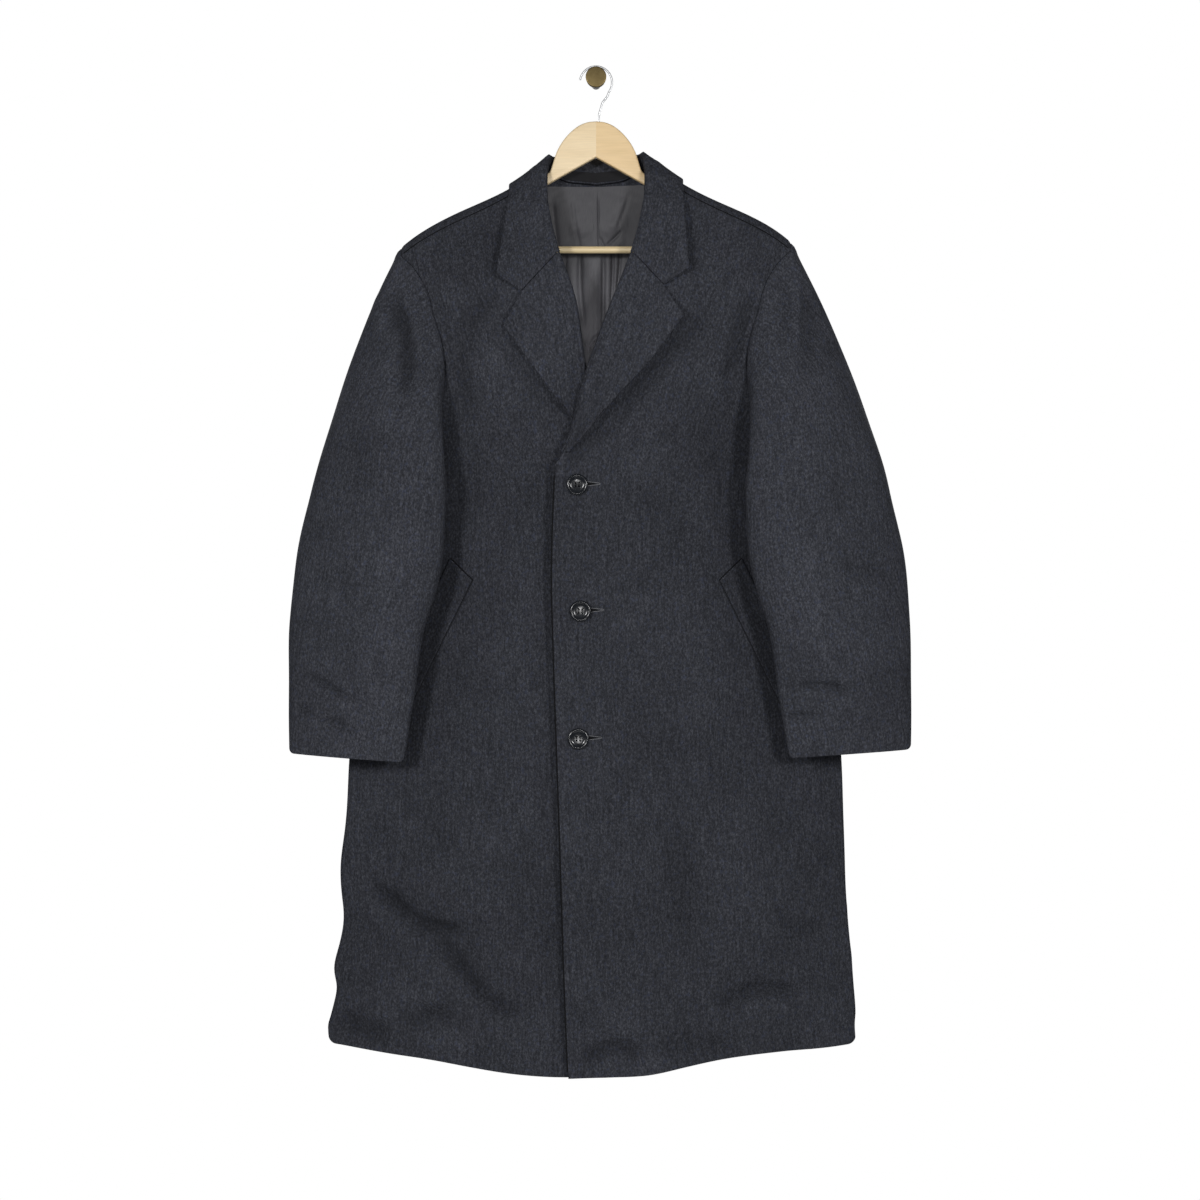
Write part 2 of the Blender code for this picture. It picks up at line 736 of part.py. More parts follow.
def lapel_grid(side, tree):
    """Hidden face of a lapel: round the front's roll edge, then over the front to its own edge."""
    shares = np.linspace(LAPEL_START, 1.0, LAPEL_ROWS + 1)
    rows = 1.0 + shares * GORGE_ROW / CHEST_ROWS
    strip = front_grid(side, rows, ROLL_COLUMNS)
    roll = strip[:, 0]
    over = unit(strip[:, 1] - strip[:, 0])
    out = grid_normals(strip, np.array([0.0, -1.0, 0.0]))[:, 0]
    edge = curve_through(LAPEL_EDGES[side], shares)
    notch = np.array(NOTCHES[side])
    straight = roll[-1][[0, 2]] + (edge[-1] - roll[-1][[0, 2]]) * NOTCH_SHARE
    grid = np.zeros((len(shares), LAPEL_COLUMNS + 3, 3))
    for column, wrap in enumerate(LAPEL_WRAPS):
        grid[:, column] = roll + over * wrap.over + out * wrap.out
    for row, share in enumerate(shares):
        bend = smooth_step((share - LAPEL_BEND_FROM) / (1 - LAPEL_BEND_FROM))
        for column, width in enumerate(lapel_widths()):
            flat = roll[row][[0, 2]] + (edge[row] - roll[row][[0, 2]]) * width
            flat = flat + (notch - straight) * notch_bump(width) * bend
            bow = LAPEL_BOW[side] * math.sin(math.pi * min(width * 1.2 + 0.1, 1.0)) * smooth_step(share * 2)
            grid[row, column + 3] = (flat[0], front_y(tree, flat[0], flat[1]) - LAY_GAP - bow, flat[1])
    return grid


def gorge_row(side, tree, lapel_top):
    """Front end of the collar: along the lapel's top edge to the notch, then out to the collar point."""
    row = lapel_top.copy()
    notch = lapel_top[2 + round(NOTCH_SHARE * LAPEL_COLUMNS)]
    corner = COLLAR_POINTS[side]
    for column, width in enumerate(lapel_widths()):
        if width > NOTCH_SHARE + 0.01:
            share = (width - NOTCH_SHARE) / (1 - NOTCH_SHARE)
            x = notch[0] + (corner.x - notch[0]) * share
            z = notch[2] + (corner.z - notch[2]) * share
            row[column + 3] = (x, front_y(tree, x, z) - LAY_GAP, z)
    row[:, 2] += SEAM_GAP
    return row


def collar_half(side, tree, neck, lapel_top):
    """Hidden face of half the collar: rows from the centre back to the gorge."""
    known = np.arange(len(COLLAR_SECTIONS))
    steps = np.linspace(0.0, known[-1], known[-1] * COLLAR_STEPS + 1)
    table = curve_through(COLLAR_SECTIONS, steps, known)
    neck_shares = length_shares(neck)
    base = np.stack([np.interp(table[:, 0], neck_shares, neck[:, axis]) for axis in range(3)], axis=1)
    mirror = np.array([side, 1.0, 1.0])
    roll = shoulder_lift(side, table[:, 1:4] * mirror)
    edge = shoulder_lift(side, table[:, 4:7] * mirror)
    widths = lapel_widths()
    grid = np.zeros((len(steps), LAPEL_COLUMNS + 3, 3))
    grid[:, 0] = base
    grid[:, 1] = (base + roll) / 2
    grid[:, 2] = roll
    for column, width in enumerate(widths):
        grid[:, column + 3] = roll + (edge - roll) * width
    blend = smooth_step((steps / known[-1] - GORGE_BLEND) / (1 - GORGE_BLEND))
    grid += (gorge_row(side, tree, lapel_top) - grid[-1])[None] * blend[:, None, None]
    towards = np.zeros_like(grid)
    towards[:] = COLLAR_FRONT_OUT
    towards[: len(steps) // 3] = COLLAR_BACK_OUT
    gaps = COLLAR_GAP + RIDGE_GAP * np.exp(-(((steps - RIDGE_SECTION) / RIDGE_SPREAD) ** 2))
    grid[:-1, 3:] = pushed_clear(grid[:-1, 3:], tree, towards[:-1, 3:], gaps)
    return grid


def extruded_outline(name, outline, y, thickness, rounding, material, collection):
    """A flat outline in X and Z, filled and thickened about a depth."""
    shape = bpy.data.curves.new(name, "CURVE")
    shape.dimensions = "2D"
    shape.fill_mode = "BOTH"
    shape.extrude = thickness / 2 * MM
    spline = shape.splines.new("POLY")
    spline.points.add(len(outline) - 1)
    for point, (x, z) in zip(spline.points, outline):
        point.co = (x * MM, z * MM, 0.0, 1.0)
    spline.use_cyclic_u = True
    item = bpy.data.objects.new(name, shape)
    item.location = (0.0, y * MM, 0.0)
    item.rotation_euler = (math.pi / 2, 0.0, 0.0)
    item.data.materials.append(material)
    collection.objects.link(item)
    weld = item.modifiers.new("Weld", "WELD")
    weld.merge_threshold = WELD_GAP
    bevel = item.modifiers.new("Bevel", "BEVEL")
    bevel.width = rounding * MM
    bevel.segments = 2
    bevel.limit_method = "ANGLE"
    bevel.angle_limit = math.radians(ROUNDED_ANGLE)
    return item


def arm_top(tree, side, x):
    """Height at which the shoulder rests on the hanger arm, whose long edges are rounded."""
    lows = []
    for across in np.linspace(-1.0, 1.0, ARM_SAMPLES) * ARM_THICK / 2:
        into_edge = max(0.0, abs(across) - ARM_THICK / 2 + ARM_ROUND)
        fall = ARM_ROUND - math.sqrt(ARM_ROUND ** 2 - into_edge ** 2)
        hit = tree.ray_cast(Vector((side * x, HANGER_Y + across, ARM_BELOW_Z)), Vector((0.0, 0.0, 1.0)))
        if hit[0]:
            lows.append(hit[0].z + fall)
    return min(lows) - LAY_GAP


def hanger_outline(tree, side):
    """Outline of one hanger half: hump, seated top, foot and straight underside."""
    top = [(flat.x, flat.z) for flat in ARM_HUMP]
    top[0] = (SEAM_GAP / 2, top[0][1])
    for x in np.linspace(ARM_SEAT_X, ARM_END_X, ARM_STATIONS):
        top.append((x, arm_top(tree, side, x)))
    low = [(ARM_END_X, ARM_FOOT_Z), (ARM_FOOT_X, ARM_FOOT_Z)]
    low.append((ARM_FOOT_X, ARM_APEX_Z - ARM_SLOPE * ARM_FOOT_X))
    low.append((SEAM_GAP / 2, ARM_APEX_Z))
    return [(side * x, z) for x, z in top + low]


def wire(name, route, radius, material, collection):
    """A round wire along a route, with closed ends."""
    shape = bpy.data.curves.new(name, "CURVE")
    shape.dimensions = "3D"
    shape.bevel_depth = radius * MM
    shape.bevel_resolution = 2
    shape.use_fill_caps = True
    spline = shape.splines.new("POLY")
    spline.points.add(len(route) - 1)
    for point, place in zip(spline.points, route):
        point.co = (place[0] * MM, place[1] * MM, place[2] * MM, 1.0)
    item = bpy.data.objects.new(name, shape)
    item.data.materials.append(material)
    collection.objects.link(item)
    weld = item.modifiers.new("Weld", "WELD")
    weld.merge_threshold = WELD_GAP
    return item


def hook_route():
    """Route of the hook wire: tip, round over the peg and down to the wood."""
    angles = np.radians(np.linspace(HOOK_TIP_ANGLE, HOOK_LEAVE_ANGLE, HOOK_ARC_POINTS))
    arc = [(HOOK_RADIUS * math.cos(angle), HOOK_CENTRE_Z + HOOK_RADIUS * math.sin(angle)) for angle in angles]
    stem = [arc[-1]] + [tuple(flat) for flat in HOOK_STEM]
    tail = curve_through(stem, np.linspace(0.0, 1.0, HOOK_TAIL_POINTS))
    flat_route = arc + [tuple(point) for point in tail[1:]]
    return [(x, HANGER_Y, z) for x, z in flat_route]


def turned(name, profile, sides, material, collection):
    """A turned solid from a profile of radius and height, as a closed mesh about +Z."""
    vertices = []
    faces = []
    rings = []
    for radius, height in profile:
        if radius == 0:
            rings.append([len(vertices)])
            vertices.append((0.0, 0.0, height))
            continue
        start = len(vertices)
        rings.append(list(range(start, start + sides)))
        for index in range(sides):
            angle = 2 * math.pi * index / sides
            vertices.append((radius * math.cos(angle), radius * math.sin(angle), height))
    for near, far in zip(rings, rings[1:]):
        for index in range(sides):
            after = (index + 1) % sides
            loop = [near[index % len(near)], near[after % len(near)]]
            loop += [far[after % len(far)], far[index % len(far)]]
            faces.append(tuple(dict.fromkeys(loop)))
    return mesh_object(name, vertices, faces, material, collection)


def make_material(name, colour, roughness, metallic):
    """A plain surface finish."""
    material = bpy.data.materials.new(name)
    material.use_nodes = True
    surface = material.node_tree.nodes["Principled BSDF"]
    surface.inputs["Base Color"].default_value = (*colour, 1.0)
    surface.inputs["Roughness"].default_value = roughness
    surface.inputs["Metallic"].default_value = metallic
    return material


def make_cloth(materials, collection):
    """Panels, sleeves and all that lies on them."""
    columns = np.linspace(0.0, 1.0, PANEL_COLUMNS + 1)
    grids = {}
    normals = {}
    eases = {}
    for side, word in SIDE_NAMES.items():
        front = front_grid(side, front_shares(), columns)
        back = back_grid(side, back_shares(), columns)
        grids["front_" + word] = front
        grids["back_" + word] = back
        normals["front_" + word] = grid_normals(front, np.array([0.0, -1.0, 0.0]))
        normals["back_" + word] = grid_normals(back, np.array([0.0, 1.0, 0.0]))
        front_hole = front[SKIRT_ROWS:, -1]
        back_hole = back[SKIRT_ROWS:, -1]
        front_phi = UNDERARM_PHI * (1 - np.linspace(0.0, 1.0, len(front_hole)))
        back_phi = UNDERARM_PHI + (360.0 - UNDERARM_PHI) * np.linspace(0.0, 1.0, len(back_hole))
        loops = {
            "top_sleeve_": (
                np.concatenate((front_hole[FRONT_SEAM_ROW:], back_hole[BACK_SEAM_ROW:-1][::-1])),
                np.concatenate((front_phi[FRONT_SEAM_ROW:], back_phi[BACK_SEAM_ROW:-1][::-1])),
            ),
            "under_sleeve_": (
                np.concatenate((back_hole[1:BACK_SEAM_ROW + 1][::-1], front_hole[:FRONT_SEAM_ROW + 1])),
                np.concatenate((back_phi[1:BACK_SEAM_ROW + 1][::-1], front_phi[:FRONT_SEAM_ROW + 1])),
            ),
        }
        for piece, (armhole, phi) in loops.items():
            sleeve = sleeve_grid(side, armhole, phi, SLEEVE_ROWS)
            turn = np.radians(phi)
            outward = np.stack((side * np.cos(turn), -np.sin(turn), np.zeros_like(turn)), axis=-1)
            grids[piece + word] = sleeve
            normals[piece + word] = grid_normals(sleeve, outward[None])
            eases[piece + word] = underarm_ease(side, phi)
    share_seam_normals(grids, normals)
    insides = {}
    for key, grid in grids.items():
        insides[key] = grid - normals[key] * CLOTH_WALL
        if key in eases:
            grid[0] += eases[key]
            insides[key][0] += eases[key]
        wall(key, trimmed(grid), trimmed(insides[key]), materials["wool"], collection)
    return grids, insides, normals


def neck_seam(insides, word):
    """Inner edge of the neck on one side, from the centre back to the gorge, moved in and up."""
    nape = insides["back_" + word][SKIRT_ROWS + BLADE_ROWS:, 0]
    throat = insides["front_" + word][SKIRT_ROWS + GORGE_ROW:-1, 0][::-1]
    neck = np.concatenate((nape, throat))
    inward = unit((np.array([0.0, HANGER_Y, 0.0]) - neck) * np.array([1.0, 1.0, 0.0]))
    return neck + (inward + np.array([0.0, 0.0, 1.0])) * LAY_GAP


def make_collar_and_lapels(grids, insides, materials, collection):
    """Lapels over the fronts, and one collar round the neck."""
    tree = surface_tree([grids[key] for key in ("front_left", "front_right", "back_left", "back_right")])
    halves = {}
    for side, word in SIDE_NAMES.items():
        lapel = lapel_grid(side, surface_tree([grids["front_" + word]]))
        shown = lapel + grid_normals(lapel, np.array([0.0, -1.0, 0.0])) * COLLAR_WALL
        wall("lapel_" + word, trimmed(shown), trimmed(lapel), materials["wool"], collection)
        halves[side] = collar_half(side, tree, neck_seam(insides, word), lapel[-1])
    hidden = np.concatenate((halves[RIGHT][:0:-1], halves[LEFT]))
    outward = np.zeros_like(hidden)
    outward[:, 4:] = (hidden[:, 4:] - np.array([0.0, HANGER_Y, 0.0])) * np.array([1.0, 1.0, 0.0])
    shown = hidden + grid_normals(hidden, outward) * COLLAR_WALL
    wall("collar", trimmed(shown), trimmed(hidden), materials["wool"], collection)
    return shown


def make_welts_and_buttons(grids, materials, collection):
    """Pocket welts on both fronts and buttons down the over front."""
    for side, word in SIDE_NAMES.items():
        tree = surface_tree([grids["front_" + word]])
        hidden = np.zeros((WELT_ROWS + 1, WELT_COLUMNS + 1, 3))
        for row, down in enumerate(np.linspace(0.0, 1.0, WELT_ROWS + 1)):
            for column, across in enumerate(np.linspace(0.0, 1.0, WELT_COLUMNS + 1)):
                x = side * (WELT_TOP.x + (WELT_LOW.x - WELT_TOP.x) * down + WELT_ACROSS.x * across)
                z = WELT_TOP.z + (WELT_LOW.z - WELT_TOP.z) * down + WELT_ACROSS.z * across
                hidden[row, column] = (x, front_y(tree, x, z) - LAY_GAP, z)
        shown = hidden + grid_normals(hidden, np.array([0.0, -1.0, 0.0])) * CLOTH_WALL
        wall("welt_" + word, shown, hidden, materials["wool"], collection)
    tree = surface_tree([grids["front_left"]])
    for word, place in BUTTON_PLACES.items():
        button = turned("button_" + word, BUTTON_PROFILE, BUTTON_SIDES, materials["button"], collection)
        corners = [
            front_y(tree, place.x + BUTTON_RADIUS * math.cos(turn), place.z + BUTTON_RADIUS * math.sin(turn))
            for turn in np.linspace(0.0, 2 * math.pi, 12, endpoint=False)
        ]
        button.location = (place.x * MM, (min(corners) - SEAM_GAP) * MM, place.z * MM)
        button.rotation_euler = (math.pi / 2, 0.0, 0.0)


def make_lining_and_label(grids, normals, collar_shown, materials, collection):
    """Satin back lining inside the backs, and a bare label on the collar stand."""
    halves = {}
    top = SKIRT_ROWS + BLADE_ROWS + LINING_YOKE_ROWS + 1
    for side, word in SIDE_NAMES.items():
        grid = grids["back_" + word][LINING_HEM_ROW:top, :LINING_COLUMNS]
        inside = -normals["back_" + word][LINING_HEM_ROW:top, :LINING_COLUMNS]
        wave = LINING_WAVE * (1.0 - np.cos(np.arange(LINING_COLUMNS) * LINING_WAVE_STEP + 0.5 * side))
        wave[0] = LINING_PLEAT
        fade = smooth_step((top - LINING_HEM_ROW - 1 - np.arange(len(grid))) / LINING_FADE_ROWS)
        ease = LAY_GAP + wave[None, :] * fade[:, None]
        halves[side] = (grid + inside * (CLOTH_WALL + ease)[..., None], inside)
    hidden = np.concatenate((halves[RIGHT][0][:, :0:-1], halves[LEFT][0]), axis=1)
    facing = np.concatenate((halves[RIGHT][1][:, :0:-1], halves[LEFT][1]), axis=1)
    wall("back_lining", hidden + facing * LINING_WALL, hidden, materials["lining"], collection)
    middle = len(collar_shown) // 2
    stand = collar_shown[middle - LABEL_ROWS:middle + LABEL_ROWS + 1]
    label = np.stack([stand[:, 0] + (stand[:, 1] - stand[:, 0]) * share for share in LABEL_SPAN], axis=1)
    facing = grid_normals(label, np.array([0.0, -1.0, 0.0]))
    label = label + facing * LAY_GAP
    wall("neck_label", label + facing * LABEL_WALL, label, materials["label"], collection)


def make_hanger_and_peg(insides, materials, collection):
    """Two hanger halves, bar, hook and the wall peg."""
    keys = ("front_left", "front_right", "back_left", "back_right")
    tree = surface_tree([insides[key] for key in keys])
    for side, word in SIDE_NAMES.items():
        outline = hanger_outline(tree, side)
        extruded_outline(
            "hanger_arm_" + word, outline, HANGER_Y, ARM_THICK, ARM_ROUND, materials["wood"], collection
        )
    end = ARM_FOOT_X - SEAM_GAP
    route = [(-end, HANGER_Y, BAR_Z), (end, HANGER_Y, BAR_Z)]
    wire("hanger_bar", route, BAR_RADIUS, materials["bar"], collection)
    wire("hanger_hook", hook_route(), WIRE_RADIUS, materials["chrome"], collection)
    stem = turned(
        "peg_stem",
        (
            (0.0, 0.0),
            (STEM_NECK_RADIUS, 0.0),
            (STEM_NECK_RADIUS, STEM_NECK_LENGTH),
            (STEM_RADIUS, STEM_NECK_LENGTH + STEM_FLARE),
            (STEM_RADIUS, STEM_LENGTH),
            (0.0, STEM_LENGTH),
        ),
        PEG_SIDES,
        materials["brass"],
        collection,
    )
    stem.rotation_euler = (math.pi / 2, 0.0, 0.0)
    cap = turned(
        "peg_cap",
        (
            (0.0, 0.0),
            (CAP_RADIUS, 0.0),
            (CAP_RADIUS, CAP_THICK - CAP_CHAMFER),
            (CAP_RADIUS - CAP_CHAMFER, CAP_THICK),
            (0.0, CAP_THICK),
        ),
        PEG_SIDES,
        materials["brass"],
        collection,
    )
    cap.location = (0.0, -(STEM_LENGTH + SEAM_GAP) * MM, 0.0)
    cap.rotation_euler = (math.pi / 2, 0.0, 0.0)


def main():
    """Build the coat and what holds it up."""
    clear_scene()
    collection = bpy.data.collections.new("long_overcoat")
    bpy.context.scene.collection.children.link(collection)
    materials = {
        "wool": make_material("charcoal_wool", (0.030, 0.031, 0.038), 0.95, 0.0),
        "lining": make_material("grey_satin", (0.085, 0.083, 0.092), 0.45, 0.0),
        "label": make_material("black_label", (0.010, 0.010, 0.012), 0.70, 0.0),
        "button": make_material("dark_button", (0.025, 0.028, 0.030), 0.25, 0.0),
        "wood": make_material("pale_birch", (0.78, 0.62, 0.40), 0.45, 0.0),
        "bar": make_material("birch_bar", (0.62, 0.48, 0.28), 0.50, 0.0),
        "chrome": make_material("chromed_wire", (0.75, 0.76, 0.78), 0.18, 1.0),
        "brass": make_material("aged_brass", (0.26, 0.19, 0.08), 0.40, 0.9),
    }
    grids, insides, normals = make_cloth(materials, collection)
    collar_shown = make_collar_and_lapels(grids, insides, materials, collection)
    make_welts_and_buttons(grids, materials, collection)
    make_lining_and_label(grids, normals, collar_shown, materials, collection)
    make_hanger_and_peg(insides, materials, collection)


main()
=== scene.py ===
"""Dress the long overcoat: cloth, buttons, hanger and peg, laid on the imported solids.

Lengths are in millimetres until a mesh is made. The origin is the centre of the
peg's wall face: X runs to the wearer's left, Y into the wall and Z up.
"""

import math
from collections import namedtuple

import bmesh
import bpy
import numpy as np
from mathutils import Matrix, Vector
from mathutils.bvhtree import BVHTree


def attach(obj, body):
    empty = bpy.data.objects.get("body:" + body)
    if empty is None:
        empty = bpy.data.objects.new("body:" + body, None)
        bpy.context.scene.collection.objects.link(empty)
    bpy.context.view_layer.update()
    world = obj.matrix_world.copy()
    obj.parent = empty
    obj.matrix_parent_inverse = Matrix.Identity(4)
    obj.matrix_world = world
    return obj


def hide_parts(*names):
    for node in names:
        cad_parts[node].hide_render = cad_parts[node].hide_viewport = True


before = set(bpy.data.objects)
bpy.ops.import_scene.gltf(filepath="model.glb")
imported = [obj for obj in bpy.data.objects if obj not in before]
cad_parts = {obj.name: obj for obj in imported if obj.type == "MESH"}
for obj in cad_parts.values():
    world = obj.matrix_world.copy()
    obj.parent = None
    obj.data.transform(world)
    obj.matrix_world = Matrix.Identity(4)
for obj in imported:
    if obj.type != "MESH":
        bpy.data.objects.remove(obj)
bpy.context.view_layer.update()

MM = 0.001
TINY = 1e-9
WELD = 1e-6
SOFT_SAMPLES = 9
LEFT = 1
RIGHT = -1
SIDE_NAMES = {LEFT: "left", RIGHT: "right"}
BODY_PANELS = ("front_left", "front_right", "back_left", "back_right")
TOWARDS_VIEWER = np.array([0.0, -1.0, 0.0])

# Walls and clearances
CLOTH_WALL = 2.2
COLLAR_WALL = 3.0
LINING_WALL = 0.7
LABEL_WALL = 0.8
BEFORE_COAT_Y = -400.0
SEAM_GAP = 0.3
LAY_GAP = 0.5
SLEEVE_AGREE = 0.3
CRISP_ANGLE = 50.0

# Grid sizes: rows and columns of each cut piece
SKIRT_ROWS = 156
CHEST_ROWS = 70
BLADE_ROWS = 40
YOKE_ROWS = 30
PANEL_COLUMNS = 80
SLEEVE_HEAD_ROWS = 56
SLEEVE_ARM_ROWS = 110

# A rounded rim: steps in from the edge and how far the surface falls there, as shares of half the wall
RIM_STEPS = (0.0, 0.10, 0.35, 1.0)
RIM_FALLS = (0.80, 0.52, 0.22, 0.0)

# A rounded tube end: steps past the route and the radius there, as shares of the radius
END_STEPS = (1.0, 0.92, 0.62)
END_THINS = (0.0, 0.39, 0.78)

# The left shoulder hangs higher than the right one
SHOULDER_LIFT = 7.0
LIFT_FROM_Z = -600.0
LIFT_RISE = 270.0
LIFT_ACROSS = 120.0

# Folds die away over these shares of a panel's width, and over this share of their own length
FOLD_FADE_EDGE = 0.20
FOLD_FADE_SEAM = 0.25
FOLD_END = 0.3

# Places are x, y, z, or x, z where the depth is found on the cloth
Flat = namedtuple("Flat", "x z")
Ring = namedtuple("Ring", "outer_x inner_x outer_z inner_z outer_y inner_y depth")
Fold = namedtuple("Fold", "x0 z0 x1 z1 width depth")
Ripple = namedtuple("Ripple", "z height width")

# Free edge of the over front, hem to break, then its roll line and neck edge
OVER_EDGE = (
    (-34, -97, -1242), (-38, -99, -1140), (-45, -102, -920), (-51.5, -104, -727), (-54, -105, -629),
    (-50, -106, -486),
)
OVER_NECK = (
    (-50, -106, -486), (-39, -106, -469), (-12, -104, -381), (14, -99, -307), (44, -87, -230),
    (56, -79, -195), (66, -70, -158),
)
UNDER_EDGE = ((10, -90, -1241), (10, -94, -1000), (10, -95, -629), (7, -92, -486))
UNDER_NECK = (
    (7, -92, -486), (-3, -92, -455), (-19, -94, -342), (-28, -94, -284), (-48, -87, -224),
    (-59, -79, -192), (-68, -70, -158),
)
SHOULDER_NECK = (74.5, -60, -124)
GORGE_ROW = 50

# Half-width of the body down the side seam, hem to underarm
SIDE_SEAM = (
    (332, -22, -1209), (325, -22, -1130), (317, -21, -1040), (310, -20, -856), (297, -19, -660),
    (282, -18, -540), (283, -20, -480),
)
FRONT_ARMHOLE = (
    (283, -20, -480), (256, -38, -472), (228, -50, -455), (205, -61, -430), (192, -70, -400),
    (187, -76, -366), (190, -79, -335), (199, -79, -305), (210, -75, -268), (226, -67, -241),
    (243, -60, -224),
)
BACK_ARMHOLE = (
    (283, -20, -480), (262, -13, -455), (240, -9, -420), (226, -9, -370), (221, -11, -320),
    (224, -17, -270),
)
BACK_SHOULDER = ((224, -17, -270), (234, -28, -235), (244, -46, -213), (243, -60, -224))
CENTRE_BACK_SKIRT = ((0, -7, -1214), (0, -8, -900), (0, -9, -480))
CENTRE_BACK = ((0, -9, -480), (0, -8, -300), (0, -12, -190), (0, -20, -131))
BACK_NECK = ((0, -20, -131), (40, -24, -126), (64, -36, -114), (71, -48, -111), SHOULDER_NECK)

# Front hem, from the right side seam round to the left one
HEM = (
    (-332, -1209), (-256, -1219), (-205, -1224), (-155, -1232), (-106, -1239), (-56, -1242), (66, -1240),
    (116, -1229), (165, -1220), (215, -1215), (293, -1213), (332, -1209),
)
HEM_FADE = 0.25
HEM_CORNER = 10.0
HEM_CORNER_FADE = 0.05
CUFF_CORNER = 6.0
CUFF_CORNER_FROM = 0.93
HEM_SOFT = 22.0

# How a row across a panel leaves the middle, comes in to the seam and spreads its fall in height:
# share of the panel, flat run, turn, reach, early fall and late fall
FRONT_TURNS = (
    (0.00, 0.45, 1.00, 13, 0.16, 0.70), (1.00, 0.45, 1.00, 13, 0.16, 0.70),
    (1.07, 0.42, 0.30, 26, 0.15, 0.70), (1.30, 0.38, 0.16, 44, 0.14, 0.70),
    (1.70, 0.34, 0.10, 44, 0.20, 0.65), (2.00, 0.33, 0.00, 50, 0.50, 0.55),
)
BACK_TURNS = (
    (0.00, 0.50, 1.00, 8, 0.18, 0.70), (0.80, 0.50, 1.00, 8, 0.18, 0.70),
    (1.00, 0.48, 0.72, 12, 0.17, 0.70), (1.25, 0.42, 0.45, 24, 0.15, 0.70),
    (2.00, 0.36, 0.12, 46, 0.20, 0.65), (2.50, 0.33, 0.00, 50, 0.50, 0.55),
    (3.00, 0.33, 0.00, 50, 0.50, 0.55),
)
TURN_SOFT = 0.05

# Broad folds of the solids: troughs (plus, towards the wall) and ridges (minus)
SKIRT_FOLDS = (
    Fold(-285, -1010, -130, -1128, 26, 6.0),
    Fold(-150, -1112, -68, -1165, 22, 4.0),
    Fold(-290, -1150, -205, -1182, 20, -4.0),
    Fold(-262, -1068, -160, -1160, 28, -4.0),
    Fold(-18, -1225, 36, -1192, 18, -4.0),
    Fold(36, -1192, 66, -1236, 16, 3.0),
    Fold(150, -1122, 250, -1160, 24, 4.5),
    Fold(120, -1190, 240, -1208, 26, -4.0),
    Fold(176, -560, 262, -860, 40, 5.0),
    Fold(-176, -560, -262, -860, 40, 5.0),
)
BACK_FOLDS = (
    Fold(-60, -520, -90, -1205, 46, 3.5),
    Fold(70, -560, 110, -1205, 50, 3.0),
    Fold(-190, -760, -225, -1200, 42, -3.0),
    Fold(200, -820, 230, -1200, 40, -3.0),
)
RIGHT_RIPPLES = (
    Ripple(-1030, 4.0, 170),
    Ripple(-987, 4.0, 40),
    Ripple(-1057, -4.0, 28),
    Ripple(-1113, 4.0, 22),
    Ripple(-1140, -2.5, 14),
    Ripple(-1192, 6.0, 26),
)
LEFT_RIPPLES = (Ripple(-1209, -5.0, 34),)

